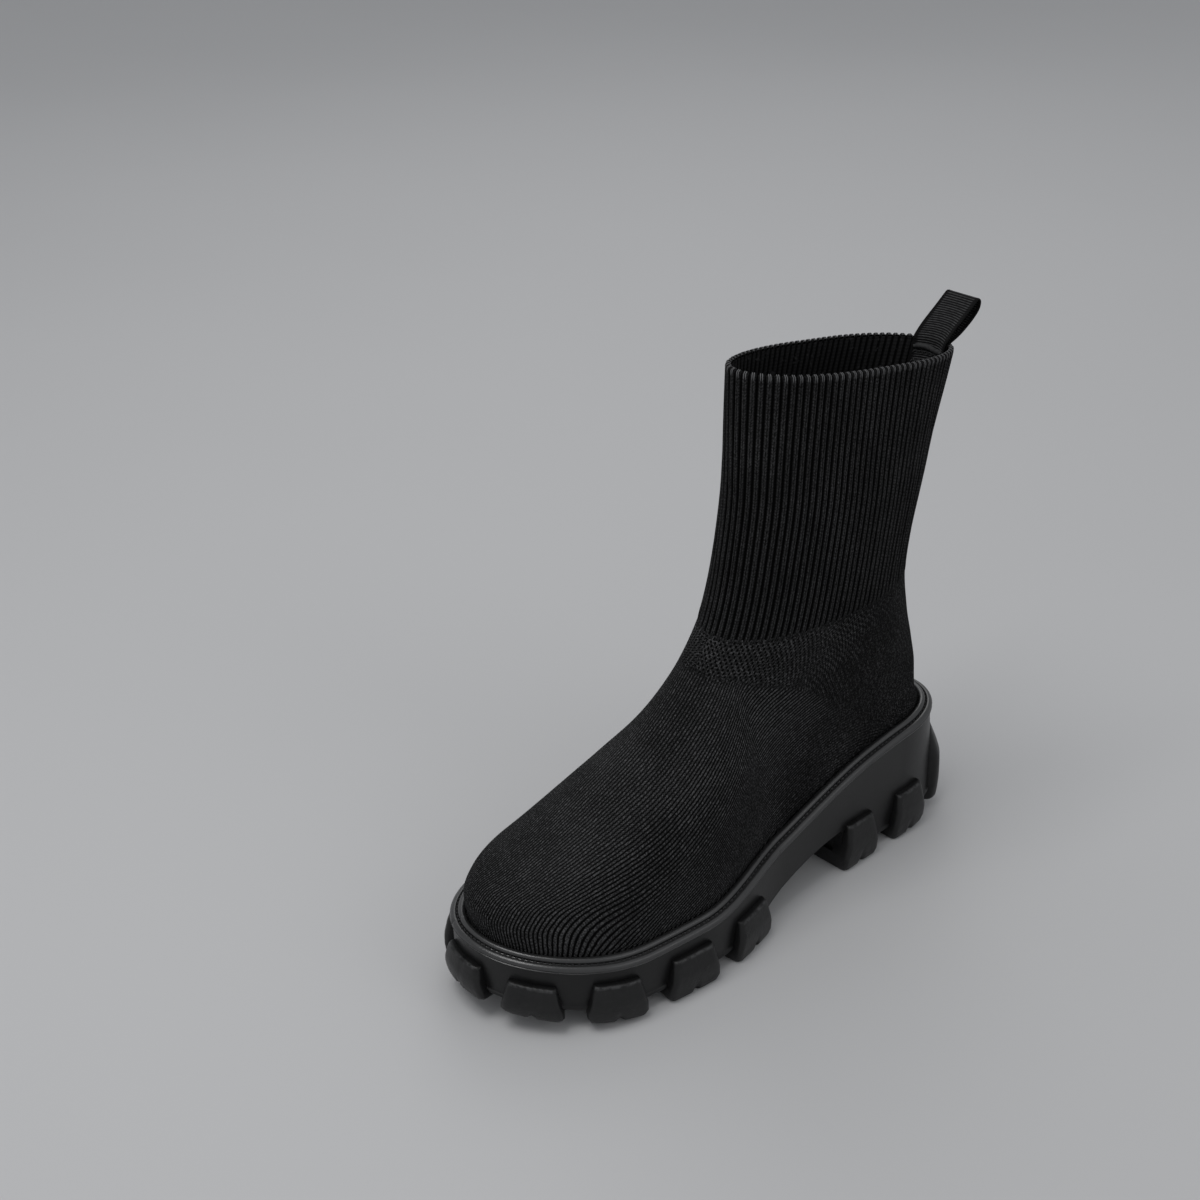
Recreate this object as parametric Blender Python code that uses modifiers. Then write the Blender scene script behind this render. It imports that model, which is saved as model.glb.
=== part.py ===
"""A left sock boot: a knitted sock upper on a thick lugged platform sole with a heel.

The boot stands on z = 0 with its toe towards -Y and its outer side towards +X.
All sizes are in metres.
"""

import math

import bmesh
import bpy
import numpy as np
from mathutils import Matrix

# Sole, seen from above: the side wall's outline without lugs
SOLE_LENGTH = 0.2705
HEEL_Y = 0.1270
BALL_OUTER = 0.0515
BALL_INNER = 0.0450
WAIST_OUTER = 0.0386
WAIST_INNER = 0.0280
HEEL_OUTER = 0.0333
HEEL_INNER = 0.0208
TOE_ROUND = 0.0600
HEEL_ROUND = 0.0340
TOE_SWING = 0.0050
HEEL_SWING = 0.0055
EDGE_STEPS = 40

# Sole, seen from the side: heights of the platform that the upper stands on
FOREFOOT_HEIGHT = 0.0276
TOE_HEIGHT = 0.0268
HEEL_HEIGHT = 0.0620
SILL_HEIGHT = 0.0068
TOE_SPRING = 0.0075
TOE_SPRING_LENGTH = 0.0620
HEEL_LIFT = 0.0070
HEEL_LIFT_LENGTH = 0.0450
HEEL_FLARE = 0.0075
ARCH_START_Y = -0.0160
BREAST_Y = 0.0490
ARCH_RISE = 0.0165
ARCH_STEPS = 9
LIP_RISE = 0.0008
LIP_OUT = 0.0002
LIP_HEIGHT = 0.0018
WALL_INSET = 0.0004

# Lugs
LUG_OUT = 0.0048
LUG_BOTTOM_OUT = 0.0032
LUG_HEIGHT = 0.0212
TOE_LUG_HEIGHT = 0.0193
TOE_LUG_LIFT = 0.0027
TOE_LUG_LENGTH = 0.0780
HEEL_LUG_HEIGHT = 0.0252
BACK_LUG_HEIGHT = 0.0400
LUG_ROOT = 0.0050
LUG_TAPER = 0.0030
LUG_CORNER = 0.0010
LUG_CORNER_SHARE = 0.12
LUG_BEVEL_SHARE = 0.06
NOTCH_WIDTH = 0.0040
NOTCH_DEPTH = 0.0035
NOTCH_HEIGHT = 0.0035

# Welt strip: ledge, groove and bead
GAP = 0.0003
LEDGE_OVERHANG = 0.0007
LEDGE_HEIGHT = 0.0036
LEDGE_WIDTH = 0.0026
LEDGE_BEVEL = 0.0009
GROOVE_WIDTH = 0.0008
GROOVE_DEPTH = 0.0014
BEAD_RADIUS = 0.0018
BEAD_RISE = 0.0036

# Upper
WALL = 0.0022
INSOLE_THICKNESS = 0.0040
INSOLE_BEVEL = 0.0008
SHAFT_X = 0.0020
ANKLE_HALF = 0.0300
COLLAR_HALF = 0.0242
TOE_BOX_RISE = 0.0285
VAMP_RISE = 0.0520
INSTEP_RISE = 0.0692
ANKLE_RISE = 0.1120
COLLAR_FRONT_RISE = 0.2230
COLLAR_BACK_RISE = 0.1800
RIB_DEPTH = 0.0006
RIB_END = 0.0008
RIM_CROWN = 0.0006

# Pull loop
LOOP_WIDTH = 0.0185
LOOP_THICKNESS = 0.0011
LOOP_HEIGHT = 0.0195
LOOP_LEAN = 0.0180
LOOP_TAIL = 0.0130
LOOP_COLUMNS = 5

# Share of the sole's length from the toe, the size that it follows, and its share of that size
OUTER_ROWS = (
    (0.00, BALL_OUTER, 0.86),
    (0.18, BALL_OUTER, 0.98),
    (0.34, BALL_OUTER, 1.00),
    (0.55, WAIST_OUTER, 1.00),
    (0.78, HEEL_OUTER, 1.00),
    (1.00, HEEL_OUTER, 0.95),
)
INNER_ROWS = (
    (0.00, BALL_INNER, 0.93),
    (0.18, BALL_INNER, 1.00),
    (0.30, BALL_INNER, 1.00),
    (0.55, WAIST_INNER, 1.00),
    (0.78, HEEL_INNER, 1.00),
    (1.00, HEEL_INNER, 0.95),
)
PLATFORM_ROWS = (
    (0.00, TOE_HEIGHT, 1.00),
    (0.12, FOREFOOT_HEIGHT, 0.98),
    (0.32, FOREFOOT_HEIGHT, 1.00),
    (0.44, FOREFOOT_HEIGHT, 1.13),
    (0.55, HEEL_HEIGHT, 0.60),
    (0.78, HEEL_HEIGHT, 0.86),
    (1.00, HEEL_HEIGHT, 1.00),
)
# Lugs: the side of the sole, where each starts and ends along that side's edge from the toe,
# its height, the share of its reach out that it keeps at its top, and the share of the sole's
# half width that it runs inwards underneath
LUG_ROWS = (
    ("outer", 0.062, 0.148, TOE_LUG_HEIGHT, 0.66, 0.50),
    ("outer", 0.178, 0.265, LUG_HEIGHT, 0.66, 0.72),
    ("outer", 0.300, 0.390, LUG_HEIGHT, 0.66, 0.72),
    ("outer", 0.425, 0.515, LUG_HEIGHT, 0.66, 0.72),
    ("outer", 0.700, 0.780, HEEL_LUG_HEIGHT, 0.66, 0.72),
    ("outer", 0.818, 0.893, HEEL_LUG_HEIGHT, 0.66, 0.72),
    ("outer", 0.925, 0.984, BACK_LUG_HEIGHT, 0.05, 0.72),
    ("inner", -0.040, 0.056, TOE_LUG_HEIGHT, 0.66, 0.50),
    ("inner", 0.074, 0.158, LUG_HEIGHT, 0.66, 0.50),
    ("inner", 0.190, 0.275, LUG_HEIGHT, 0.66, 0.72),
    ("inner", 0.305, 0.390, LUG_HEIGHT, 0.66, 0.72),
    ("inner", 0.425, 0.510, LUG_HEIGHT, 0.66, 0.72),
    ("inner", 0.700, 0.780, HEEL_LUG_HEIGHT, 0.66, 0.72),
    ("inner", 0.818, 0.893, HEEL_LUG_HEIGHT, 0.66, 0.72),
    ("inner", 0.925, 0.984, BACK_LUG_HEIGHT, 0.05, 0.72),
)
# Upper, front line: level, share of the sole's length from the toe, and rise above the platform
FRONT_ROWS = (
    (0.10, 0.018, TOE_BOX_RISE, 0.58),
    (0.16, 0.038, TOE_BOX_RISE, 0.84),
    (0.22, 0.076, TOE_BOX_RISE, 1.00),
    (0.36, 0.240, VAMP_RISE, 1.00),
    (0.50, 0.350, INSTEP_RISE, 1.00),
    (0.58, 0.442, ANKLE_RISE, 0.795),
    (0.66, 0.499, ANKLE_RISE, 1.00),
    (0.74, 0.521, COLLAR_FRONT_RISE, 0.612),
    (0.85, 0.535, COLLAR_FRONT_RISE, 0.774),
    (1.00, 0.534, COLLAR_FRONT_RISE, 1.00),
)
# Upper, back line, in the same columns
BACK_ROWS = (
    (0.10, 0.974, COLLAR_BACK_RISE, 0.070),
    (0.22, 0.973, COLLAR_BACK_RISE, 0.130),
    (0.36, 0.960, COLLAR_BACK_RISE, 0.220),
    (0.50, 0.939, COLLAR_BACK_RISE, 0.330),
    (0.66, 0.925, COLLAR_BACK_RISE, 0.470),
    (0.85, 0.965, COLLAR_BACK_RISE, 0.750),
    (1.00, 1.016, COLLAR_BACK_RISE, 1.000),
)
# Upper, each level: half width at the shaft, share of the shaft's oval, and rounding at front and back
SECTION_ROWS = (
    (0.00, ANKLE_HALF, 0.00, 0.054, 0.030),
    (0.10, ANKLE_HALF, 0.00, 0.056, 0.034),
    (0.22, ANKLE_HALF, 0.08, 0.064, 0.040),
    (0.36, ANKLE_HALF, 0.40, 0.077, 0.046),
    (0.50, ANKLE_HALF, 0.78, 0.075, 0.050),
    (0.66, ANKLE_HALF, 1.00, 0.060, 0.056),
    (1.00, COLLAR_HALF, 1.00, 0.058, 0.052),
)
# Pull loop, along the strap above the collar's rim: share of its lean behind the outer tail,
# share of its height, and share of the collar's curve that the strap keeps there
LOOP_ROWS = (
    (-0.078, 0.000, 1.00),
    (-0.061, 0.113, 1.00),
    (0.067, 0.246, 1.00),
    (0.256, 0.421, 0.90),
    (0.567, 0.687, 0.50),
    (0.811, 0.923, 0.10),
    (0.883, 0.990, 0.00),
    (0.956, 0.979, 0.00),
    (1.000, 0.882, 0.00),
    (0.956, 0.713, 0.05),
    (0.756, 0.492, 0.35),
    (0.478, 0.277, 0.70),
    (0.211, 0.149, 0.95),
    (0.044, 0.097, 1.00),
    (0.000, 0.000, 1.00),
)
# Levels of the upper: where its rings lie, where it leaves the bead, where it stops following the
# platform, and where the ribs start
FOOT_LEVELS = (0.04, 0.07, 0.10, 0.13, 0.17, 0.22, 0.28, 0.34, 0.41, 0.48, 0.55, 0.60)
FREE_LEVEL = 0.10
STRAIGHT_LEVEL = 0.36
RIB_LEVEL = 0.64
SHAFT_LEVELS = (0.74, 0.85)


def curve_through(places, values, at):
    """A smooth curve through the values that never overshoots them."""
    places = np.asarray(places, float)
    values = np.asarray(values, float)
    at = np.clip(np.asarray(at, float), places[0], places[-1])
    steps = np.diff(places)
    slopes = np.diff(values) / steps
    bends = np.zeros(len(places))
    same_way = slopes[:-1] * slopes[1:] > 0
    both = np.where(same_way, slopes[:-1] + slopes[1:], 1.0)
    bends[1:-1] = np.where(same_way, 2 * slopes[:-1] * slopes[1:] / both, 0.0)
    bends[0] = slopes[0]
    bends[-1] = slopes[-1]
    row = np.clip(np.searchsorted(places, at, side="right") - 1, 0, len(steps) - 1)
    u = (at - places[row]) / steps[row]
    start = (1 + 2 * u) * (1 - u) ** 2 * values[row] + u**2 * (3 - 2 * u) * values[row + 1]
    lean = u * (1 - u) ** 2 * bends[row] - u**2 * (1 - u) * bends[row + 1]
    return start + lean * steps[row]


def rows_at(rows, at):
    """The value of a table whose rows end in a size and its share."""
    return curve_through([row[0] for row in rows], [row[-2] * row[-1] for row in rows], at)


def rounded(share, power=2.1):
    """0 to 1 like a rounded end, as the share of its length goes from 0 to 1."""
    return (1 - (1 - np.clip(share, 0, 1)) ** power) ** (1 / power)


TOE_Y = HEEL_Y - SOLE_LENGTH


def length_share(y):
    return (np.asarray(y, float) - TOE_Y) / SOLE_LENGTH


def toe_lift(y):
    """How far the toe spring lifts the sole from the floor."""
    reach = np.clip((TOE_Y + TOE_SPRING_LENGTH - np.asarray(y, float)) / TOE_SPRING_LENGTH, 0, None)
    return TOE_SPRING * reach**1.5


def floor_lift(y):
    """How far the tread lies above the floor: the toe spring, and the lift at the heel's back."""
    back = np.clip((np.asarray(y, float) - HEEL_Y + HEEL_LIFT_LENGTH) / HEEL_LIFT_LENGTH, 0, None)
    return toe_lift(y) + HEEL_LIFT * back**2


def lug_lift(y):
    """How far the lugs' undersides are lifted towards the toe, on top of the toe spring."""
    return TOE_LUG_LIFT * np.clip((TOE_Y + TOE_LUG_LENGTH - np.asarray(y, float)) / TOE_LUG_LENGTH, 0, None)


def platform(y):
    return rows_at(PLATFORM_ROWS, length_share(y)) + toe_lift(y)


def middle_x(share):
    """The middle line, which swings inwards at the toe and follows the heel at the back."""
    toe = np.clip(1 - share / 0.55, 0, 1) ** 1.5
    heel = np.clip((share - 0.86) / 0.14, 0, 1) ** 2
    return HEEL_SWING * heel - TOE_SWING * toe


def half_width(share, side):
    return rows_at(OUTER_ROWS if side > 0 else INNER_ROWS, share)


def even_steps(line, steps):
    """The line cut into steps of equal length."""
    run = np.concatenate([[0], np.cumsum(np.linalg.norm(np.diff(line, axis=0), axis=1))])
    at = np.linspace(0, run[-1], steps + 1)
    return np.stack([np.interp(at, run, line[:, k]) for k in range(line.shape[1])], axis=1)


def closed_ring(outer, inner):
    """One ring from the toe along the outer side to the heel and back along the inner side."""
    return np.concatenate([outer, inner[-2:0:-1]])


def edge_side(side, samples=600):
    turn = np.linspace(0, math.pi, samples)
    share = (1 - np.cos(turn)) / 2
    y = TOE_Y + SOLE_LENGTH * share
    ends = rounded((y - TOE_Y) / TOE_ROUND, 2.15) * rounded((HEEL_Y - y) / HEEL_ROUND)
    return np.stack([middle_x(share) + side * half_width(share, side) * ends, y], axis=1)


def sole_edge(steps=EDGE_STEPS):
    return closed_ring(even_steps(edge_side(1), steps), even_steps(edge_side(-1), steps))


def outward(ring):
    """Unit vectors in the plan that point out of a ring."""
    along = np.roll(ring, -1, axis=0) - np.roll(ring, 1, axis=0)
    normal = np.stack([along[:, 1], -along[:, 0]], axis=1)
    return normal / np.linalg.norm(normal, axis=1)[:, None]


EDGE = sole_edge()
EDGE_OUT = outward(EDGE)


def edge_level(offset, height):
    """A ring at an offset from the sole's edge; height is a function of y."""
    plan = EDGE + EDGE_OUT * np.asarray(offset, float).reshape(-1, 1)
    return np.column_stack([plan, height(plan[:, 1])])


def over_platform(rise):
    return lambda y: platform(y) + rise


def solid_from(name, points, faces, material, split=False):
    """A closed mesh object with its faces pointing out, its quads split at their short diagonals if asked."""
    mesh = bpy.data.meshes.new(name)
    mesh.from_pydata([tuple(map(float, p)) for p in points], [], [tuple(map(int, f)) for f in faces])
    work = bmesh.new()
    work.from_mesh(mesh)
    bmesh.ops.recalc_face_normals(work, faces=work.faces)
    if work.calc_volume(signed=True) < 0:
        bmesh.ops.reverse_faces(work, faces=work.faces)
    if split:
        bmesh.ops.triangulate(work, faces=work.faces, quad_method="SHORT_EDGE")
    work.to_mesh(mesh)
    work.free()
    mesh.shade_smooth()
    mesh.set_sharp_from_angle(angle=math.radians(35))
    made = bpy.data.objects.new(name, mesh)
    mesh.materials.append(material)
    return made


def strip_faces(first, second, count, closed=True):
    """Quads between two rings of the same number of points."""
    last = count if closed else count - 1
    return [(first + j, first + (j + 1) % count, second + (j + 1) % count, second + j) for j in range(last)]


def crossing_cap(start, steps):
    """Faces across a ring, from its outer side to its inner side."""
    count = 2 * steps
    faces = [(start, start + 1, start + count - 1)]
    for j in range(1, steps - 1):
        faces.append((start + j, start + j + 1, start + count - j - 1, start + count - j))
    faces.append((start + steps - 1, start + steps, start + steps + 1))
    return faces


def stacked_solid(name, levels, material, steps=EDGE_STEPS):
    """A solid through rings of the sole's edge, closed across at both ends."""
    count = 2 * steps
    faces = []
    for k in range(len(levels) - 1):
        faces += strip_faces(k * count, (k + 1) * count, count)
    faces += crossing_cap(0, steps)
    faces += crossing_cap((len(levels) - 1) * count, steps)
    return solid_from(name, np.concatenate(levels), faces, material)


def ring_solid(name, levels, material, steps=EDGE_STEPS):
    """A closed strip: the levels go once round its section."""
    count = 2 * steps
    faces = []
    for k in range(len(levels)):
        faces += strip_faces(k * count, ((k + 1) % len(levels)) * count, count)
    return solid_from(name, np.concatenate(levels), faces, material)


def boolean(target, tool, operation):
    """Applies one Boolean to the target and removes the tool."""
    modifier = target.modifiers.new(operation.lower(), "BOOLEAN")
    modifier.operation = operation
    modifier.solver = "EXACT"
    modifier.object = tool
    bpy.context.view_layer.update()
    graph = bpy.context.evaluated_depsgraph_get()
    mesh = bpy.data.meshes.new_from_object(target.evaluated_get(graph))
    old = target.data
    target.modifiers.clear()
    target.data = mesh
    bpy.data.meshes.remove(old)
    bpy.data.objects.remove(tool)


def sole_bottom(y):
    return SILL_HEIGHT + floor_lift(y)


def heel_flare(out):
    """How far the heel's back spreads at the floor, by the direction that its wall faces."""
    return HEEL_FLARE * np.clip(out[:, 1], 0, 1) ** 2


def platform_body(material):
    """The moulded platform: a small lip at the sill, a plain side wall and the platform's top."""
    flare = heel_flare(EDGE_OUT)
    levels = [
        edge_level(flare - LIP_HEIGHT, sole_bottom),
        edge_level(flare + LIP_OUT, lambda y: sole_bottom(y) + LIP_RISE),
        edge_level(flare + LIP_OUT, lambda y: sole_bottom(y) + LIP_HEIGHT),
        edge_level(flare - WALL_INSET, lambda y: sole_bottom(y) + LIP_HEIGHT + LIP_RISE),
        edge_level(0.5 * flare, lambda y: (sole_bottom(y) + platform(y)) / 2),
        edge_level(0.0, platform),
    ]
    return stacked_solid("outsole", levels, material)


def arch_cutter():
    """The space under the waist, which rises to the heel's breast."""
    reach = 2 * (BALL_OUTER + BALL_INNER)
    low = SILL_HEIGHT - LUG_HEIGHT
    side = [(ARCH_START_Y, low), (BREAST_Y, low)]
    for k in range(ARCH_STEPS, -1, -1):
        share = k / ARCH_STEPS
        y = ARCH_START_Y + (BREAST_Y - ARCH_START_Y) * share
        side.append((y, SILL_HEIGHT - GAP + ARCH_RISE * math.sin(share * math.pi / 2)))
    points = [(-reach / 2, y, z) for y, z in side] + [(reach / 2, y, z) for y, z in side]
    count = len(side)
    faces = strip_faces(0, count, count)
    faces += [tuple(range(count)), tuple(range(2 * count - 1, count - 1, -1))]
    return solid_from("arch_cutter", points, faces, bpy.data.materials["rubber"])


def edge_places(side, distances):
    """Points and outward vectors at distances along one side's edge, counted from the toe's tip."""
    ring = closed_ring(even_steps(edge_side(1), 400), even_steps(edge_side(-1), 400))
    loop = np.concatenate([ring, ring[:1]])
    run = np.concatenate([[0], np.cumsum(np.linalg.norm(np.diff(loop, axis=0), axis=1))])
    at = np.asarray(distances, float) * (1 if side == "outer" else -1)
    step = SOLE_LENGTH / 150

    def point(where):
        turned = np.mod(where, run[-1])
        return np.stack([np.interp(turned, run, loop[:, k]) for k in (0, 1)], axis=1)

    along = point(at + step) - point(at - step)
    out = np.stack([along[:, 1], -along[:, 0]], axis=1)
    return point(at), out / np.linalg.norm(out, axis=1)[:, None]


def side_length(side):
    line = edge_side(1 if side == "outer" else -1)
    return np.linalg.norm(np.diff(line, axis=0), axis=1).sum()


def lug(number, side, start, end, height, top_share, inward):
    """One lug: a block outside the side wall that runs inwards under the sole."""
    total = side_length(side)
    notch = NOTCH_WIDTH / 2
    middle = total * (start + end) / 2
    centre, _ = edge_places(side, [middle])
    depth = inward * half_width(length_share(centre[0, 1]), 1 if side == "outer" else -1)

    def level(z, outer, inner, narrow, cut):
        low = total * start + narrow * LUG_TAPER
        high = total * end - narrow * LUG_TAPER
        corner = LUG_CORNER_SHARE * (high - low)
        front = [low, low + corner, middle - notch, middle, middle + notch, high - corner, high]
        reach = np.array([outer - LUG_CORNER, outer, outer, outer - cut, outer, outer, outer - LUG_CORNER])
        places, out = edge_places(side, front + [high, middle, low])
        reach = np.concatenate([reach, [-inner] * 3]) + heel_flare(out) * (1 - z / HEEL_HEIGHT)
        loop = places + out * reach.reshape(-1, 1)
        raised = lug_lift(loop[:, 1]) * max(1 - z / SILL_HEIGHT, 0)
        return np.column_stack([loop, z + floor_lift(loop[:, 1]) + raised])

    low_out = 0.9 * LUG_OUT + 0.1 * LUG_BOTTOM_OUT
    top_out = LUG_OUT * top_share
    bevel = LUG_BEVEL_SHARE * height
    levels = [
        level(0.0, LUG_BOTTOM_OUT, depth, 0.4, NOTCH_DEPTH),
        level(NOTCH_HEIGHT, 0.3 * LUG_BOTTOM_OUT + 0.7 * LUG_OUT, depth, 0.0, 0.4 * NOTCH_DEPTH),
        level(SILL_HEIGHT + bevel, low_out, depth, 0.1, 0.0),
        level(SILL_HEIGHT + 1.4 * bevel, low_out, LUG_ROOT, 0.15, 0.0),
        level(0.5 * height, LUG_OUT, LUG_ROOT, 0.5, 0.0),
        level(height - bevel, LUG_OUT * (0.15 + 0.75 * top_share**0.5), LUG_ROOT, 1.0, 0.0),
        level(height, top_out, LUG_ROOT, 1.1, 0.0),
    ]
    count = len(levels[0])
    faces = []
    for k in range(len(levels) - 1):
        faces += strip_faces(k * count, (k + 1) * count, count)
    for base in (0, (len(levels) - 1) * count):
        faces += [(base, base + 1, base + 2, base + 9), (base + 2, base + 3, base + 8, base + 9)]
        faces += [(base + 3, base + 4, base + 7, base + 8), (base + 4, base + 5, base + 6, base + 7)]
    return solid_from(f"lug_{number}", np.concatenate(levels), faces, bpy.data.materials["rubber"])


def outsole(collection, material):
    body = platform_body(material)
    collection.objects.link(body)
    cutter = arch_cutter()
    collection.objects.link(cutter)
    boolean(body, cutter, "DIFFERENCE")
    for number, row in enumerate(LUG_ROWS):
        block = lug(number, *row)
        collection.objects.link(block)
        boolean(body, block, "UNION")
    body.data.shade_smooth()
    body.data.set_sharp_from_angle(angle=math.radians(35))
    return body


def bead_offset():
    """Where the bead's middle lies from the sole's edge."""
    return LEDGE_OVERHANG - LEDGE_WIDTH - GROOVE_WIDTH - BEAD_RADIUS


def welt(material):
    """The strip round the platform: ledge, groove and bead."""
    section = [
        (LEDGE_OVERHANG, GAP),
        (LEDGE_OVERHANG, LEDGE_HEIGHT - LEDGE_BEVEL),
        (LEDGE_OVERHANG - LEDGE_BEVEL, LEDGE_HEIGHT),
        (LEDGE_OVERHANG - LEDGE_WIDTH, LEDGE_HEIGHT),
        (LEDGE_OVERHANG - LEDGE_WIDTH, LEDGE_HEIGHT - GROOVE_DEPTH),
    ]
    for degrees in (-20, 25, 70, 115, 150, 185):
        turn = math.radians(degrees)
        section.append((bead_offset() + BEAD_RADIUS * math.cos(turn), BEAD_RISE + BEAD_RADIUS * math.sin(turn)))
    section.append((bead_offset() - BEAD_RADIUS, GAP))
    levels = [edge_level(offset, over_platform(rise)) for offset, rise in section]
    return ring_solid("welt", levels, material)


def upper_offset():
    """Where the upper's outer face stands inside the bead."""
    return bead_offset() - BEAD_RADIUS - GAP


def insole(material):
    """The footbed, which fills the upper's open bottom."""
    offset = upper_offset() - WALL - GAP
    levels = [
        edge_level(offset, over_platform(GAP)),
        edge_level(offset, over_platform(GAP + INSOLE_THICKNESS - INSOLE_BEVEL)),
        edge_level(offset - INSOLE_BEVEL, over_platform(GAP + INSOLE_THICKNESS)),
    ]
    return stacked_solid("insole", levels, material)


def profile_point(rows, level):
    """Place and height of the front or back line at a level, which starts at the platform."""
    share = curve_through([row[0] for row in rows], [row[1] for row in rows], level)
    rise = curve_through([row[0] for row in rows], [row[2] * row[3] for row in rows], level)
    return TOE_Y + SOLE_LENGTH * share, rise


def section_ring(level, steps, samples=400):
    """The upper's outer face at a level, without ribs."""
    front_y, front_rise = profile_point(FRONT_ROWS, level)
    back_y, back_rise = profile_point(BACK_ROWS, level)
    front_z = platform(front_y) + front_rise
    back_z = platform(HEEL_Y) + back_rise
    places = [row[0] for row in SECTION_ROWS]
    half = curve_through(places, [row[1] for row in SECTION_ROWS], level)
    shaft = curve_through(places, [row[2] for row in SECTION_ROWS], level)
    front_round = curve_through(places, [row[3] for row in SECTION_ROWS], level)
    back_round = curve_through(places, [row[4] for row in SECTION_ROWS], level)
    turn = np.linspace(0, math.pi, samples)
    along = (1 - np.cos(turn)) / 2
    y = front_y + (back_y - front_y) * along
    straight = front_z + (back_z - front_z) * along
    follow = np.clip((STRAIGHT_LEVEL - level) / (STRAIGHT_LEVEL - FREE_LEVEL), 0, 1)
    rise = front_rise + (back_rise - front_rise) * along
    z = follow * (platform(y) + rise) + (1 - follow) * straight
    chord = back_y - front_y
    ends = rounded(along * chord / front_round) * rounded((1 - along) * chord / back_round)
    share = length_share(y)
    sides = []
    for side in (1, -1):
        foot = half_width(share, side) + upper_offset()
        width = (foot * (1 - shaft) + half * shaft) * ends
        x = middle_x(share) * (1 - shaft) + SHAFT_X * shaft + side * width
        sides.append(even_steps(np.stack([x, y, z], axis=1), steps))
    return closed_ring(*sides)


def upper_ring(level, steps=EDGE_STEPS):
    """A ring of the outer face; the lowest ones stand straight up inside the bead."""
    if level <= 0:
        return edge_level(upper_offset(), over_platform(GAP))
    foot = edge_level(upper_offset(), over_platform(BEAD_RISE + BEAD_RADIUS))
    if level >= FREE_LEVEL:
        return section_ring(level, steps)
    above = section_ring(FREE_LEVEL, steps)
    share = (level - FOOT_LEVELS[0]) / (FREE_LEVEL - FOOT_LEVELS[0])
    swell = math.sin(share * math.pi / 2)
    ring = foot + (above - foot) * share
    ring[:, :2] = foot[:, :2] + (above[:, :2] - foot[:, :2]) * swell
    return ring


def grid_normals(rings):
    """Outward unit vectors of a stack of rings."""
    stack = np.array(rings)
    around = np.roll(stack, -1, axis=1) - np.roll(stack, 1, axis=1)
    upward = np.gradient(stack, axis=0)
    normal = np.cross(around, upward)
    return normal / np.linalg.norm(normal, axis=2)[:, :, None]


def doubled(ring):
    """The ring with a point added halfway along each step."""
    half = (ring + np.roll(ring, -1, axis=0)) / 2
    return np.stack([ring, half], axis=1).reshape(-1, 3)


def upper(material):
    """The knitted upper: one wall, ribbed on the shaft, open at the collar and underneath."""
    count = 2 * EDGE_STEPS
    levels = [0.0, *FOOT_LEVELS, RIB_LEVEL, *SHAFT_LEVELS, 1.0]
    rings = [upper_ring(level) for level in levels]
    normals = grid_normals(rings)
    for k in (0, 1):
        normals[k] = np.column_stack([EDGE_OUT, np.zeros(count)])
    normals[-1] = normals[-2]
    inner = [ring - normals[k] * WALL for k, ring in enumerate(rings)]
    lining = [k for k in range(len(rings)) if k < 2 or k % 2 == len(rings) % 2 or k > len(rings) - 2]
    ribs_from = levels.index(RIB_LEVEL)
    points = []
    starts = []

    def add(ring):
        starts.append(sum(len(part) for part in points))
        points.append(ring)

    for k in range(ribs_from + 1):
        add(rings[k])
    for k in range(ribs_from, len(rings)):
        out = doubled(normals[k])
        out /= np.linalg.norm(out, axis=1)[:, None]
        proud = RIB_DEPTH / 2 if k > ribs_from else 0.0
        depth = np.tile([proud, proud - RIB_DEPTH], count).reshape(-1, 1)
        rise = np.array([0, 0, RIB_END]) if k == ribs_from else 0
        add(doubled(rings[k]) + out * depth + rise)
    rim = (rings[-1] + inner[-1]) / 2 + np.array([0, 0, RIM_CROWN])
    add(rim)
    for k in reversed(lining):
        add(inner[k])
    faces = []
    for k in range(len(starts)):
        first = starts[k]
        second = starts[(k + 1) % len(starts)]
        sizes = (len(points[k]), len(points[(k + 1) % len(starts)]))
        if sizes[0] == sizes[1]:
            faces += strip_faces(first, second, sizes[0])
            continue
        fine, coarse = (first, second) if sizes[0] > sizes[1] else (second, first)
        for j in range(count):
            after = (j + 1) % count
            faces += [
                (coarse + j, fine + 2 * j, fine + 2 * j + 1),
                (coarse + j, fine + 2 * j + 1, coarse + after),
                (coarse + after, fine + 2 * j + 1, fine + (2 * j + 2) % (2 * count)),
            ]
    return solid_from("upper", np.concatenate(points), faces, material, split=True)


def surface(name, colour, roughness):
    material = bpy.data.materials.new(name)
    material.use_nodes = True
    shader = material.node_tree.nodes["Principled BSDF"]
    shader.inputs["Base Color"].default_value = (*colour, 1)
    shader.inputs["Roughness"].default_value = roughness
    shader.inputs["Metallic"].default_value = 0.0
    return material


def halved_corners(line):
    """The line with its corners cut once, and its two ends kept."""
    before = 0.75 * line[:-1] + 0.25 * line[1:]
    after = 0.25 * line[:-1] + 0.75 * line[1:]
    cut = np.stack([before, after], axis=1).reshape(-1, line.shape[1])
    return np.concatenate([line[:1], cut[1:-1], line[-1:]])


def collar_back(x, depth):
    """The collar's inner face at its back: y at an x and a depth under the rim."""
    places = []
    for level in (1.0, SHAFT_LEVELS[-1]):
        ring = upper_ring(level)
        wall = ring - grid_normals([upper_ring(level - 0.02), ring])[1] * WALL
        near = wall[EDGE_STEPS - EDGE_STEPS // 4 : EDGE_STEPS + EDGE_STEPS // 4 + 1]
        order = np.argsort(near[:, 0])
        places.append([np.interp(x, near[order, 0], near[order, k]) for k in (1, 2)])
    (top_y, top_z), (low_y, low_z) = places
    return top_y + (low_y - top_y) * depth / (top_z - low_z)


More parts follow.
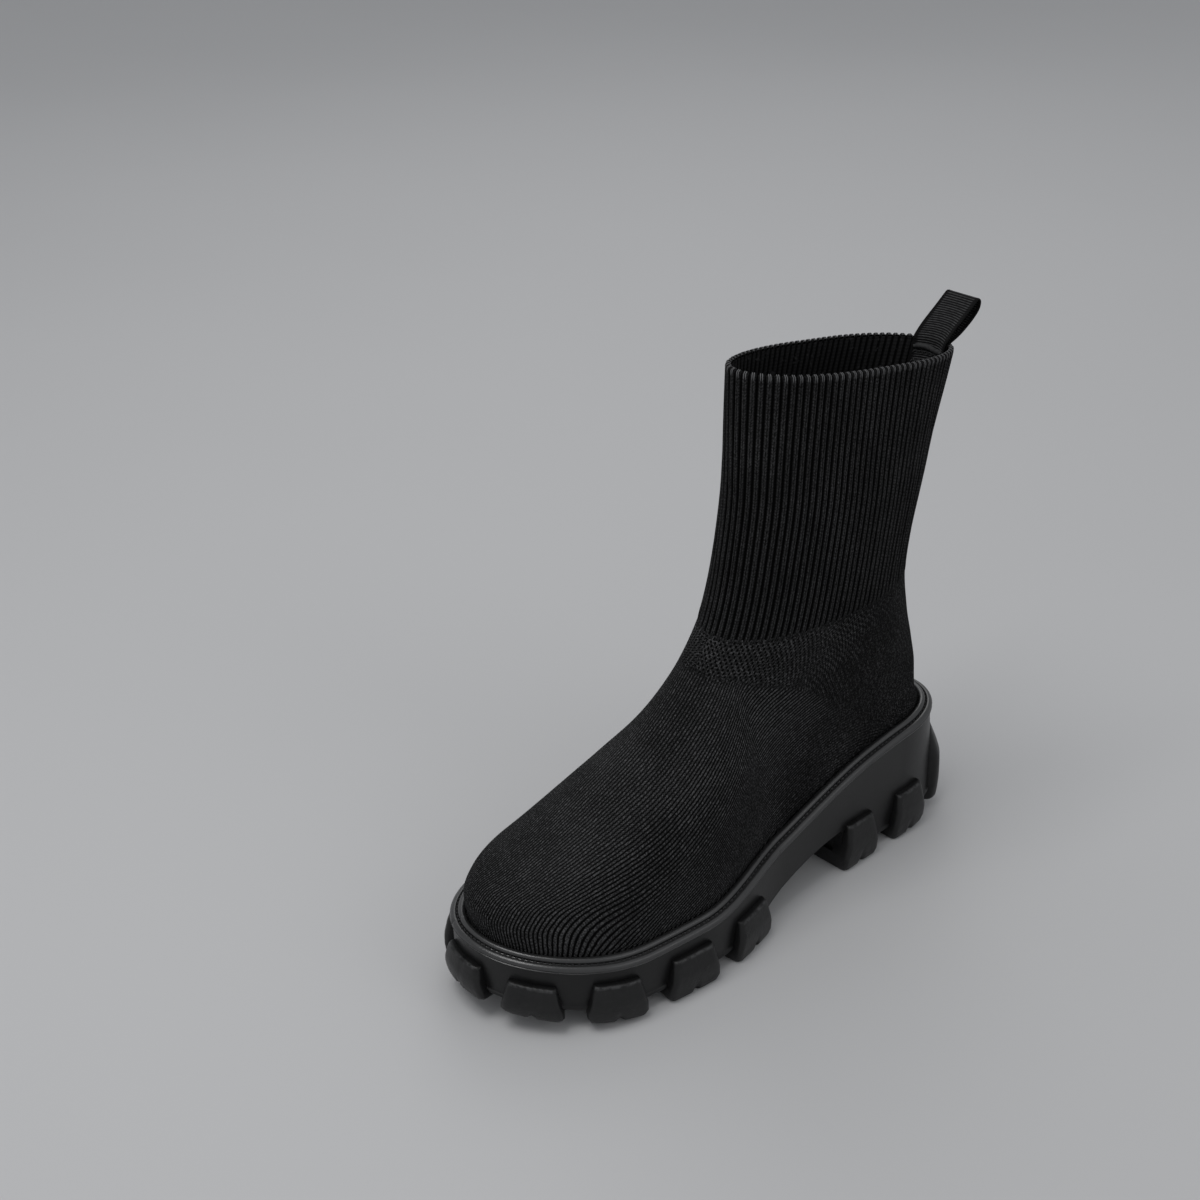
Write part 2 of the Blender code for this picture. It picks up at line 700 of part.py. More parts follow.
def pull_loop(material):
    """A webbing strap folded over, whose two tails lie one on the other inside the collar's back."""
    rim = upper_ring(1.0)[EDGE_STEPS]
    tail_y = -GAP - RIB_DEPTH - LOOP_THICKNESS / 2
    path = np.array([(LOOP_LEAN * lean, LOOP_HEIGHT * height, keep) for lean, height, keep in LOOP_ROWS])
    inner = path[0] * [1, 0, 1]
    steps = (1.0, 0.55, 0.2)
    down = [inner - [0, LOOP_TAIL * step, 0] for step in steps]
    up = [path[-1] - [0, LOOP_TAIL * step, 0] for step in reversed(steps)]
    line = halved_corners(np.concatenate([down, path, up]))
    across = np.linspace(-0.5, 0.5, LOOP_COLUMNS + 1) * LOOP_WIDTH
    points = []
    for y, z, keep in line:
        x = rim[0] + across
        depth = max(-z, 0.0)
        curved = collar_back(x, depth)
        flat = collar_back(np.full(len(x), rim[0]), depth)
        height = np.full(len(x), rim[2] + z)
        points.append(np.column_stack([x, keep * curved + (1 - keep) * flat + tail_y + y, height]))
    count = len(across)
    faces = []
    for k in range(len(points) - 1):
        faces += strip_faces(k * count, (k + 1) * count, count, closed=False)
    mesh = bpy.data.meshes.new("pull_loop")
    mesh.from_pydata([tuple(map(float, p)) for p in np.concatenate(points)], [], faces)
    mesh.shade_smooth()
    mesh.materials.append(material)
    made = bpy.data.objects.new("pull_loop", mesh)
    shell = made.modifiers.new("webbing", "SOLIDIFY")
    shell.thickness = LOOP_THICKNESS
    shell.offset = 0.0
    shell.use_even_offset = True
    return made


def centre_on_floor(objects):
    """Moves the meshes so that the middle of the boot's box, at its bottom, is the origin."""
    bpy.context.view_layer.update()
    corners = np.array([corner[:] for made in objects for corner in made.bound_box])
    low, high = corners.min(axis=0), corners.max(axis=0)
    middle = np.array([(low[0] + high[0]) / 2, (low[1] + high[1]) / 2, low[2]])
    for made in objects:
        made.data.transform(Matrix.Translation(-middle))
        made.data.update()


def build():
    for old in list(bpy.data.objects):
        bpy.data.objects.remove(old)
    rubber = surface("rubber", (0.030, 0.030, 0.031), 0.62)
    knit = surface("knit", (0.012, 0.012, 0.013), 0.95)
    webbing = surface("webbing", (0.020, 0.020, 0.021), 0.85)
    lining = surface("lining", (0.018, 0.018, 0.019), 0.90)
    collection = bpy.data.collections.new("sock_boot")
    bpy.context.scene.collection.children.link(collection)
    outsole(collection, rubber)
    for made in (welt(rubber), upper(knit), insole(lining), pull_loop(webbing)):
        collection.objects.link(made)
    centre_on_floor(list(collection.objects))


build()
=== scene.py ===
"""The left sock boot in its finishes, on a plain pale floor.

The knit, the strap, the welt and the moulded sole are made here in full, from the boot's own sizes.
The toe points to -Y, the outer side is +X, and all sizes are in metres.
"""

import math

import bmesh
import bpy
import numpy as np
from mathutils import Matrix


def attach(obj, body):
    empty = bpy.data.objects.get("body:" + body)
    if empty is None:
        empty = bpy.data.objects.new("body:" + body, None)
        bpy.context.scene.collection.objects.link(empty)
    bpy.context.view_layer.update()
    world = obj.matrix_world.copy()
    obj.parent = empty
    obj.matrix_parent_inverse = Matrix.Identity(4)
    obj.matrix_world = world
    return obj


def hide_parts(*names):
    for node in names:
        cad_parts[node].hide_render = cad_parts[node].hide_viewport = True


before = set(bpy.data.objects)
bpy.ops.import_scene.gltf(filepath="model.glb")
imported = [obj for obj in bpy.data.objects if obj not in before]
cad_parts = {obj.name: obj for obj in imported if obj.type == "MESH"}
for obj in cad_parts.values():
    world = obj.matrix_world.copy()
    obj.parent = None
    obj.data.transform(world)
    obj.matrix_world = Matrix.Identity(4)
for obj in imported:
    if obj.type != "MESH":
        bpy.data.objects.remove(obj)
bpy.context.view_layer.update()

# Camera and its place
CAMERA_PLACE = (0.45347, -0.43251, 0.49330)
CAMERA_RIGHT = (0.63131, 0.77533, -0.01763)
CAMERA_UP = (-0.35965, 0.31284, 0.87908)
CAMERA_BACK = (0.68709, -0.54863, 0.47635)
CAMERA_LENS = 48.46
FLOOR_HALF = 8.0

# Where the middle of the boot's box lies in the sole's own measures
CENTRE = np.array([0.00145, -0.00108, 0.0])

# Sole, seen from above
SOLE_LENGTH = 0.2705
HEEL_Y = 0.1270
TOE_Y = HEEL_Y - SOLE_LENGTH
BALL_OUTER = 0.0515
BALL_INNER = 0.0450
WAIST_OUTER = 0.0386
WAIST_INNER = 0.0280
HEEL_OUTER = 0.0333
HEEL_INNER = 0.0208
TOE_ROUND = 0.0600
TOE_POWER = 2.15
HEEL_ROUND = 0.0340
TOE_SWING = 0.0050
HEEL_SWING = 0.0055
TOE_SWING_END = 0.55
HEEL_SWING_START = 0.86

# Sole, seen from the side
FOREFOOT_HEIGHT = 0.0276
TOE_HEIGHT = 0.0268
HEEL_HEIGHT = 0.0620
SILL_HEIGHT = 0.0068
LIP_TOP = 0.0029
TOE_SPRING = 0.0075
TOE_SPRING_LENGTH = 0.0620
HEEL_LIFT = 0.0070
HEEL_LIFT_LENGTH = 0.0450
HEEL_FLARE = 0.0075
ARCH_START_Y = -0.0160
BREAST_Y = 0.0490
ARCH_RISE = 0.0165

# Lugs
LUG_OUT = 0.0048
LUG_BOTTOM_OUT = 0.0032
LUG_HEIGHT = 0.0212
TOE_LUG_HEIGHT = 0.0193
TOE_LUG_LIFT = 0.0027
TOE_LUG_LENGTH = 0.0780
HEEL_LUG_HEIGHT = 0.0252
BACK_LUG_HEIGHT = 0.0400
LUG_ROOT = 0.0050
LUG_TAPER = 0.0030
LUG_CORNER = 0.0026
LUG_CORNER_DROP = 0.0022
LUG_TOP_ROUND = 0.0016
LUG_TOP_ROUGH = 0.0001
NOTCH_WIDTH = 0.0040
NOTCH_DEPTH = 0.0035
NOTCH_HEIGHT = 0.0035

# Welt strip
GAP = 0.0003
LEDGE_OVERHANG = 0.0007
LEDGE_HEIGHT = 0.0036
LEDGE_WIDTH = 0.0026
GROOVE_WIDTH = 0.0008
GROOVE_DEPTH = 0.0014
GROOVE_STITCH = 0.0027
GROOVE_THREAD = 0.00034
BEAD_RADIUS = 0.0018
BEAD_RISE = 0.0036
JOINT_SHARE = 0.045
JOINT_DEPTH = 0.0004

# Upper
WALL = 0.0022
INSOLE_THICKNESS = 0.0040
SHAFT_X = 0.0020
ANKLE_HALF = 0.0300
COLLAR_HALF = 0.0242
TOE_BOX_RISE = 0.0285
VAMP_RISE = 0.0520
INSTEP_RISE = 0.0692
ANKLE_RISE = 0.1120
COLLAR_FRONT_RISE = 0.2230
COLLAR_BACK_RISE = 0.1800
FOOT_BOTTOM = 0.04
FOOT_FIRST = 0.10
FOLLOW_END = 0.36
RIBS = 88
RIB_SAMPLES = 8
RIB_LEVEL = 0.64
WALE_PITCH = 0.00165
COURSE_PITCH = 0.00165
RIB_STITCH = 0.0014
RIB_FADE = 0.0030
RIB_WAVER = 0.00010
RIB_WAVER_RUN = 0.011
RIM_TOOTH = 0.0010
RIM_LOOP = 0.0018
EYELET_WIDTH = 0.0024
EYELET_RISE = 0.0032
WAVE_WIDTH = 0.0042
WAVE_PITCH = 0.0018
LINING_ROW = 0.0016
BAND_REACH = 0.018
BAND_REACH_BACK = 0.092
SIDE_STEPS = RIBS * RIB_SAMPLES // 2
TOE_SPREAD = 0.14
SPREAD_START_Y = -0.0200
FOLD_START_Y = -0.0580
FOLD_LENGTH = 0.0760
FOLD_SPREAD = 1.50

# Pull loop
LOOP_WIDTH = 0.0185
LOOP_THICKNESS = 0.0011
LOOP_HEIGHT = 0.0195
LOOP_LEAN = 0.0180
LOOP_TAIL = 0.0130
CORD_PITCH = 0.00115
CORD_DEPTH = 0.00034
CORDED_SHARE = 0.455
THREAD_PITCH = 0.0008
FOLD_DEPTH = 0.0016
FOLD_RADIUS = 0.0012
COLLAR_THREAD = 0.00022
ZIGZAG = 0.0019

# Share of the sole's length from the toe, the size that it follows, and its share of that size
OUTER_ROWS = (
    (0.00, BALL_OUTER, 0.86),
    (0.18, BALL_OUTER, 0.98),
    (0.34, BALL_OUTER, 1.00),
    (0.55, WAIST_OUTER, 1.00),
    (0.78, HEEL_OUTER, 1.00),
    (1.00, HEEL_OUTER, 0.95),
)
INNER_ROWS = (
    (0.00, BALL_INNER, 0.93),
    (0.18, BALL_INNER, 1.00),
    (0.30, BALL_INNER, 1.00),
    (0.55, WAIST_INNER, 1.00),
    (0.78, HEEL_INNER, 1.00),
    (1.00, HEEL_INNER, 0.95),
)
PLATFORM_ROWS = (
    (0.00, TOE_HEIGHT, 1.00),
    (0.12, FOREFOOT_HEIGHT, 0.98),
    (0.32, FOREFOOT_HEIGHT, 1.00),
    (0.44, FOREFOOT_HEIGHT, 1.13),
    (0.55, HEEL_HEIGHT, 0.60),
    (0.78, HEEL_HEIGHT, 0.86),
    (1.00, HEEL_HEIGHT, 1.00),
)
# Lugs: side, start and end along that side's edge from the toe, height, share of the reach out kept
# at the top, share of the half width that it runs inwards
LUG_ROWS = (
    ("outer", 0.062, 0.148, TOE_LUG_HEIGHT, 0.60, 0.50),
    ("outer", 0.178, 0.265, LUG_HEIGHT, 0.60, 0.72),
    ("outer", 0.300, 0.390, LUG_HEIGHT, 0.60, 0.72),
    ("outer", 0.425, 0.515, LUG_HEIGHT, 0.60, 0.72),
    ("outer", 0.700, 0.780, HEEL_LUG_HEIGHT, 0.60, 0.72),
    ("outer", 0.818, 0.893, HEEL_LUG_HEIGHT, 0.60, 0.72),
    ("outer", 0.925, 0.984, BACK_LUG_HEIGHT, 0.05, 0.72),
    ("inner", -0.040, 0.056, TOE_LUG_HEIGHT, 0.60, 0.50),
    ("inner", 0.074, 0.158, LUG_HEIGHT, 0.60, 0.50),
    ("inner", 0.190, 0.275, LUG_HEIGHT, 0.60, 0.72),
    ("inner", 0.305, 0.390, LUG_HEIGHT, 0.60, 0.72),
    ("inner", 0.425, 0.510, LUG_HEIGHT, 0.60, 0.72),
    ("inner", 0.700, 0.780, HEEL_LUG_HEIGHT, 0.60, 0.72),
    ("inner", 0.818, 0.893, HEEL_LUG_HEIGHT, 0.60, 0.72),
    ("inner", 0.925, 0.984, BACK_LUG_HEIGHT, 0.05, 0.72),
)
# Upper: level, share of the sole's length from the toe, and rise above the platform
FRONT_ROWS = (
    (0.10, 0.018, TOE_BOX_RISE, 0.58),
    (0.16, 0.038, TOE_BOX_RISE, 0.84),
    (0.22, 0.076, TOE_BOX_RISE, 1.00),
    (0.36, 0.240, VAMP_RISE, 1.00),
    (0.50, 0.350, INSTEP_RISE, 1.00),
    (0.58, 0.442, ANKLE_RISE, 0.795),
    (0.66, 0.499, ANKLE_RISE, 1.00),
    (0.74, 0.521, COLLAR_FRONT_RISE, 0.612),
    (0.85, 0.535, COLLAR_FRONT_RISE, 0.774),
    (1.00, 0.534, COLLAR_FRONT_RISE, 1.00),
)
BACK_ROWS = (
    (0.10, 0.974, COLLAR_BACK_RISE, 0.070),
    (0.22, 0.973, COLLAR_BACK_RISE, 0.130),
    (0.36, 0.960, COLLAR_BACK_RISE, 0.220),
    (0.50, 0.939, COLLAR_BACK_RISE, 0.330),
    (0.66, 0.925, COLLAR_BACK_RISE, 0.470),
    (0.85, 0.965, COLLAR_BACK_RISE, 0.750),
    (1.00, 1.016, COLLAR_BACK_RISE, 1.000),
)
# Upper, each level: half width at the shaft, share of the shaft's oval, rounding at front and back
SECTION_ROWS = (
    (0.00, ANKLE_HALF, 0.00, 0.054, 0.030),
    (0.10, ANKLE_HALF, 0.00, 0.056, 0.034),
    (0.22, ANKLE_HALF, 0.08, 0.064, 0.040),
    (0.36, ANKLE_HALF, 0.40, 0.077, 0.046),
    (0.50, ANKLE_HALF, 0.78, 0.075, 0.050),
    (0.66, ANKLE_HALF, 1.00, 0.060, 0.056),
    (1.00, COLLAR_HALF, 1.00, 0.058, 0.052),
)
# Strap above the rim: share of its lean, share of its height, share of the collar's curve kept
LOOP_ROWS = (
    (-0.078, 0.000, 1.00),
    (-0.061, 0.113, 1.00),
    (0.067, 0.246, 1.00),
    (0.256, 0.421, 0.90),
    (0.567, 0.687, 0.50),
    (0.811, 0.923, 0.10),
    (0.883, 0.990, 0.00),
    (0.956, 0.979, 0.00),
    (1.000, 0.882, 0.00),
    (0.956, 0.713, 0.05),
    (0.756, 0.492, 0.35),
    (0.478, 0.277, 0.70),
    (0.211, 0.149, 0.95),
    (0.044, 0.097, 1.00),
    (0.000, 0.000, 1.00),
)


# Curves and outlines
def curve_through(places, values, at):
    """A smooth curve through the values that never overshoots them."""
    places = np.asarray(places, float)
    values = np.asarray(values, float)
    at = np.clip(np.asarray(at, float), places[0], places[-1])
    steps = np.diff(places)
    slopes = np.diff(values) / steps
    bends = np.zeros(len(places))
    same_way = slopes[:-1] * slopes[1:] > 0
    both = np.where(same_way, slopes[:-1] + slopes[1:], 1.0)
    bends[1:-1] = np.where(same_way, 2 * slopes[:-1] * slopes[1:] / both, 0.0)
    bends[0] = slopes[0]
    bends[-1] = slopes[-1]
    row = np.clip(np.searchsorted(places, at, side="right") - 1, 0, len(steps) - 1)
    u = (at - places[row]) / steps[row]
    start = (1 + 2 * u) * (1 - u) ** 2 * values[row] + u**2 * (3 - 2 * u) * values[row + 1]
    lean = u * (1 - u) ** 2 * bends[row] - u**2 * (1 - u) * bends[row + 1]
    return start + lean * steps[row]


def column(rows, place):
    return [row[place] for row in rows]


def rows_at(rows, at):
    return curve_through(column(rows, 0), [row[-2] * row[-1] for row in rows], at)


def eased(share):
    share = np.clip(share, 0, 1)
    return share * share * (3 - 2 * share)


def rounded(share, power=2.1):
    return (1 - (1 - np.clip(share, 0, 1)) ** power) ** (1 / power)


def length_share(y):
    return (np.asarray(y, float) - TOE_Y) / SOLE_LENGTH


def toe_lift(y):
    reach = np.clip((TOE_Y + TOE_SPRING_LENGTH - np.asarray(y, float)) / TOE_SPRING_LENGTH, 0, None)
    return TOE_SPRING * reach**1.5


def floor_lift(y):
    back = np.clip((np.asarray(y, float) - HEEL_Y + HEEL_LIFT_LENGTH) / HEEL_LIFT_LENGTH, 0, None)
    return toe_lift(y) + HEEL_LIFT * back**2


def lug_lift(y):
    """How far the lugs' undersides are lifted towards the toe, on top of the toe spring."""
    return TOE_LUG_LIFT * np.clip((TOE_Y + TOE_LUG_LENGTH - np.asarray(y, float)) / TOE_LUG_LENGTH, 0, None)


def platform(y):
    return rows_at(PLATFORM_ROWS, length_share(y)) + toe_lift(y)


def middle_x(share):
    toe = np.clip(1 - share / TOE_SWING_END, 0, 1) ** 1.5
    heel = np.clip((share - HEEL_SWING_START) / (1 - HEEL_SWING_START), 0, 1) ** 2
    return HEEL_SWING * heel - TOE_SWING * toe


def half_width(share, side):
    return rows_at(OUTER_ROWS if side > 0 else INNER_ROWS, share)


def even_steps(line, steps):
    run = np.concatenate([[0], np.cumsum(np.linalg.norm(np.diff(line, axis=0), axis=1))])
    at = np.linspace(0, run[-1], steps + 1)
    return np.stack([np.interp(at, run, line[:, k]) for k in range(line.shape[1])], axis=1)


def closed_ring(outer, inner):
    return np.concatenate([outer, inner[-2:0:-1]])


def end_rounding(y):
    """1 along the sole, and down to 0 at the tips of the toe and the heel."""
    return rounded((y - TOE_Y) / TOE_ROUND, TOE_POWER) * rounded((HEEL_Y - y) / HEEL_ROUND)


def edge_side(side, samples=1600):
    turn = np.linspace(0, math.pi, samples)
    share = (1 - np.cos(turn)) / 2
    y = TOE_Y + SOLE_LENGTH * share
    return np.stack([middle_x(share) + side * half_width(share, side) * end_rounding(y), y], axis=1)


def sole_edge(steps):
    return closed_ring(even_steps(edge_side(1), steps), even_steps(edge_side(-1), steps))


def outward(ring):
    along = np.roll(ring, -1, axis=0) - np.roll(ring, 1, axis=0)
    normal = np.stack([along[:, 1], -along[:, 0]], axis=1)
    return normal / np.linalg.norm(normal, axis=1)[:, None]


def over_platform(rise):
    return lambda y: platform(y) + rise


class Edge:
    """The sole's edge cut into steps, with its outward vectors."""

    def __init__(self, steps):
        self.steps = steps
        self.ring = sole_edge(steps)
        self.out = outward(self.ring)

    def level(self, offset, height):
        plan = self.ring + self.out * np.asarray(offset, float).reshape(-1, 1)
        return np.column_stack([plan, height(plan[:, 1])])


# Meshes
def strip_faces(first, second, count):
    """Faces between two closed rings of as many points."""
    after = [(j + 1) % count for j in range(count)]
    return [(first + j, first + k, second + k, second + j) for j, k in enumerate(after)]


def crossing_cap(start, steps):
    count = 2 * steps
    faces = [(start, start + 1, start + count - 1)]
    for j in range(1, steps - 1):
        faces.append((start + j, start + j + 1, start + count - j - 1, start + count - j))
    faces.append((start + steps - 1, start + steps, start + steps + 1))
    return faces


def mesh_piece(name, points, faces, sharp=None, centred=False):
    """A mesh in the boot's frame, smooth except at edges sharper than sharp degrees."""
    points = np.asarray(points, float)
    if not centred:
        points = points - CENTRE
    mesh = bpy.data.meshes.new(name)
    mesh.from_pydata([tuple(p) for p in points.tolist()], [], faces)
    mesh.shade_smooth()
    if sharp:
        mesh.set_sharp_from_angle(angle=math.radians(sharp))
    made = bpy.data.objects.new(name, mesh)
    bpy.context.scene.collection.objects.link(made)
    return made


def facing_out(made):
    work = bmesh.new()
    work.from_mesh(made.data)
    bmesh.ops.recalc_face_normals(work, faces=work.faces)
    if work.calc_volume(signed=True) < 0:
        bmesh.ops.reverse_faces(work, faces=work.faces)
    work.to_mesh(made.data)
    work.free()
    return made


def corner_map(made, name, values):
    """A map of two values per point, for the finishes to read."""
    layer = made.data.uv_layers.new(name=name)
    index = np.empty(len(made.data.loops), np.int32)
    made.data.loops.foreach_get("vertex_index", index)
    layer.data.foreach_set("uv", np.asarray(values, np.float32)[index].reshape(-1))


def point_value(made, name, values):
    layer = made.data.attributes.new(name, "FLOAT", "POINT")
    layer.data.foreach_set("value", np.asarray(values, np.float32))


def grid_normals(rings):
    stack = np.array(rings)
    around = np.roll(stack, -1, axis=1) - np.roll(stack, 1, axis=1)
    normal = np.cross(around, np.gradient(stack, axis=0))
    return normal / np.linalg.norm(normal, axis=2)[:, :, None]


# Finishes: sums on sockets
class Strand:
    """A socket among a finish's nodes, on which sums are written as Python."""

    def __init__(self, tree, socket=None):
        self.tree = tree
        self.socket = socket

    def node(self, kind, settings=None, sockets=None, out=0):
        made = self.tree.nodes.new(kind)
        for name, value in (settings or {}).items():
            setattr(made, name, value)
        for name, value in (sockets or {}).items():
            if isinstance(value, Strand):
                self.tree.links.new(value.socket, made.inputs[name])
            else:
                made.inputs[name].default_value = value
        return Strand(self.tree, made.outputs[out])

    def math(self, operation, *values):
        return self.node("ShaderNodeMath", {"operation": operation}, dict(enumerate(values)))

    def __add__(self, other):
        return self.math("ADD", self, other)

    def __sub__(self, other):
        return self.math("SUBTRACT", self, other)

    def __rsub__(self, other):
        return self.math("SUBTRACT", other, self)

    def __mul__(self, other):
        return self.math("MULTIPLY", self, other)

    def __truediv__(self, other):
        return self.math("DIVIDE", self, other)

    def __pow__(self, other):
        return self.math("POWER", self, other)

    __radd__ = __add__
    __rmul__ = __mul__

    def wave(self):
        """-1 to 1, once for each whole number."""
        return self.math("SINE", self * (2 * math.pi))

    def part(self):
        return self.math("FRACT", self)

    def size(self):
        return self.math("ABSOLUTE", self)

    def least(self, other):
        return self.math("MINIMUM", self, other)

    def most(self, other):
        return self.math("MAXIMUM", self, other)

    def held(self):
        return self.least(1.0).most(0.0)

    def across(self, low, high):
        """0 at low and 1 at high, smoothly."""
        settings = {"interpolation_type": "SMOOTHSTEP"}
        return self.node("ShaderNodeMapRange", settings, {0: self, 1: low, 2: high, 3: 0.0, 4: 1.0})

    def blend(self, low, high):
        """The value low where this is 0 and high where it is 1."""
        return low + (high - low) * self

    def tint(self, low, high):
        """A mix of two colours by this value."""
        settings = {"data_type": "RGBA"}
        return self.node("ShaderNodeMix", settings, {0: self, 6: low, 7: high}, out=2)

    def value(self, name):
        return self.node("ShaderNodeAttribute", {"attribute_name": name}, out=2)

    def map(self, name):
        """The two values of a corner map."""
        both = self.node("ShaderNodeUVMap", {"uv_map": name})
        split = self.node("ShaderNodeSeparateXYZ", sockets={0: both})
        return split, Strand(self.tree, split.socket.node.outputs[1])

    def place(self):
        return self.node("ShaderNodeTexCoord", out=3)

    def noise(self, scale, detail=2.0, rough=0.5):
        sockets = {"Scale": scale, "Detail": detail, "Roughness": rough, "Vector": self.place()}
        return self.node("ShaderNodeTexNoise", sockets=sockets)

    def bumped(self, height, distance, strength=1.0):
        sockets = {"Strength": strength, "Distance": distance, "Height": height}
        return self.node("ShaderNodeBump", sockets=sockets)


def finish(name, colour, roughness, sheen=0.0, coat=0.0, coat_rough=0.3, specular=0.5):
    """A new material with its shader's plain values. Gives it with its shader and a first strand."""
    made = bpy.data.materials.new(name)
    made.use_nodes = True
    tree = made.node_tree
    shader = tree.nodes["Principled BSDF"]
    shader.inputs["Base Color"].default_value = (*colour, 1)
    shader.inputs["Roughness"].default_value = roughness
    shader.inputs["Sheen Weight"].default_value = sheen
    shader.inputs["Sheen Roughness"].default_value = 0.5
    shader.inputs["Sheen Tint"].default_value = (0.8, 0.8, 0.82, 1)
    shader.inputs["Coat Weight"].default_value = coat
    shader.inputs["Coat Roughness"].default_value = coat_rough
    shader.inputs["Specular IOR Level"].default_value = specular
    return made, shader, Strand(tree)


def feed(strand, shader, name):
    strand.tree.links.new(strand.socket, shader.inputs[name])


def grey(value):
    return (value, value, value * 1.02, 1)


def ribbed_knit():
    """Ribs with two fine columns of stitches on each crest, and a dark valley between ribs."""
    made, shader, start = finish("ribbed_knit", (0.012, 0.012, 0.012), 0.95, specular=0.08)
    ribs, along = start.map("ribs")
    crest = start.value("crest")
    rim = start.value("rim")
    lean = (ribs * 2.0).part() - 0.5
    columns = 1 - (lean.size() * 2) ** 2.5
    stitch = (along / RIB_STITCH + lean.size() * 1.4).wave() * 0.5 + 0.5
    fuzz = start.noise(1500.0, 3.0, 0.75)
    flecks = start.noise(1300.0, 2.0, 0.8).across(0.42, 0.62)
    patch = start.noise(38.0, 3.0, 0.55)
    height = columns * (0.45 + stitch * 0.35) + fuzz * 0.5
    line = (1 - (lean - 0.20).size() / 0.09).held() * start.noise(240.0, 2.0, 0.6).across(0.45, 0.60)
    dots = line * (along / RIB_STITCH).wave().across(-0.2, 0.6)
    loops = (1 - (lean.size() - 0.27).size() / 0.15).held()
    yarn = 0.06 + columns * (0.28 + stitch * 0.36) + flecks * 0.50 + dots * 0.55
    lit = crest * yarn * (0.50 + patch * 0.9)
    shade = (lit * (1 - rim * 0.5) * 0.50 + rim * (0.04 + loops * 1.30)).held() ** 1.5
    feed(shade.tint(grey(0.0006), grey(0.1700)), shader, "Base Color")
    feed(start.bumped(height * (0.3 + crest * 0.7), 0.00030), shader, "Normal")
    return made


def foot_knit():
    """Fine wales along the foot, an eyelet band at the ankle, waves behind it and a plain heel."""
    made, shader, start = finish("foot_knit", (0.014, 0.014, 0.014), 0.95, specular=0.08)
    wale, course = start.map("wales")
    around, down = start.map("rings")
    band = start.value("band")
    flank = start.value("flank")
    plain = start.value("plain")
    holes = start.value("holes")
    drift = start.noise(55.0, 3.0, 0.55) - 0.5
    fine = start.noise(1500.0, 3.0, 0.75)
    flecks = start.noise(1050.0, 2.0, 0.8).across(0.42, 0.62)

    wiggle = start.noise(260.0, 2.0, 0.6) - 0.5
    count = wale / WALE_PITCH + drift * 0.40 + wiggle * 0.35
    lean = count.part() - 0.5
    crest = (1 - (lean.size() * 2) ** 2.0).across(0.28, 0.92)
    step = course / COURSE_PITCH + count.math("FLOOR", count) * 0.5 + drift * 0.8
    stitch = (step + lean.size() * 0.8).wave() * 0.5 + 0.5
    dots = (1 - crest) * (step.wave() * 0.5 + 0.5).across(0.35, 0.75) * holes
    bridge = (1 - crest) * holes * 0.34
    wales = crest * (0.48 + stitch * 0.20 + flecks * 0.50) + bridge - dots * 0.7

    turn = 2 * math.pi
    across = (around / EYELET_WIDTH + drift * 0.5) * turn
    upward = (down / EYELET_RISE + drift * 0.3) * turn
    lattice = across.math("COSINE", across) * upward.math("COSINE", upward)
    eyelets = (1 - lattice.across(0.15, 0.60)) * (0.42 + flecks * 0.46)

    zig = ((around / WAVE_WIDTH + drift * 0.6).part() - 0.5).size() * 2
    waves = (down / WAVE_PITCH + zig * 1.0 + drift * 2.4 + wiggle * 1.0).wave() * 0.5 + 0.5
    waves = waves.across(0.20, 0.90) * (0.36 + flecks * 0.75) + 0.12

    turned = band.blend(flank.blend(wales, waves), eyelets)
    calm = 0.38 + (turned - 0.34) * 0.34 + (flecks - 0.4) * 0.34
    height = plain.blend(turned, calm) + fine * 0.30
    patch = start.noise(24.0, 3.0, 0.55)
    shade = ((height - 0.12) * (0.50 + patch * 0.9)).held() ** 2.3
    feed(shade.tint(grey(0.0006), grey(0.0980)), shader, "Base Color")
    feed(start.bumped(height, 0.00080), shader, "Normal")
    return made


def lining_knit():
    """The knit's inner side, duller, with specks of thread."""
    made, shader, start = finish("lining_knit", (0.010, 0.010, 0.010), 0.95, specular=0.08)
    along = start.map("ribs")[1]
    crest = start.value("crest")
    fuzz = start.noise(1300.0, 3.0, 0.7)
    specks = start.noise(420.0, 1.0, 0.5).across(0.64, 0.76)
    rows = (along / LINING_ROW).wave() * 0.5 + 0.5
    shade = (crest * (0.35 + fuzz * 0.6) * (0.75 + rows * 0.25) + specks * 0.9).held()
    feed(shade.tint(grey(0.0018), grey(0.0380)), shader, "Base Color")
    feed(start.bumped(fuzz + rows * 0.3, 0.00025), shader, "Normal")
    return made


def strap_webbing():
    """Tape with fine cords across it and a smooth selvedge."""
    made, shader, start = finish("strap_webbing", (0.02, 0.02, 0.02), 0.85, specular=0.15)
    across, along = start.map("strap")
    cords = start.value("crest")
    threads = (across / THREAD_PITCH + (along / CORD_PITCH).part() * 0.5).wave() * 0.5 + 0.5
    fuzz = start.noise(1600.0, 2.0, 0.6)
    wear_and_painted_highlight = start.noise(500.0, 3.0, 0.7).across(0.35, 0.65)
    height = cords * 0.7 + threads * 0.25 + fuzz * 0.25
    shade = (cords.across(0.20, 0.85) * (0.35 + threads * 0.25 + wear_and_painted_highlight * 0.50) + fuzz * 0.10).held()
    feed(shade.tint(grey(0.0012), grey(0.0720)), shader, "Base Color")
    feed(start.bumped(threads * 0.5 + fuzz * 0.7 + height * 0.2, 0.00020), shader, "Normal")
    return made


def thread():
    """Twisted sewing thread."""
    made, shader, start = finish("thread", (0.03, 0.03, 0.03), 0.6, specular=0.3)
    twist = start.noise(900.0, 2.0, 0.6)
    feed(twist.tint(grey(0.010), grey(0.050)), shader, "Base Color")
    feed(start.bumped(twist, 0.0001), shader, "Normal")
    return made


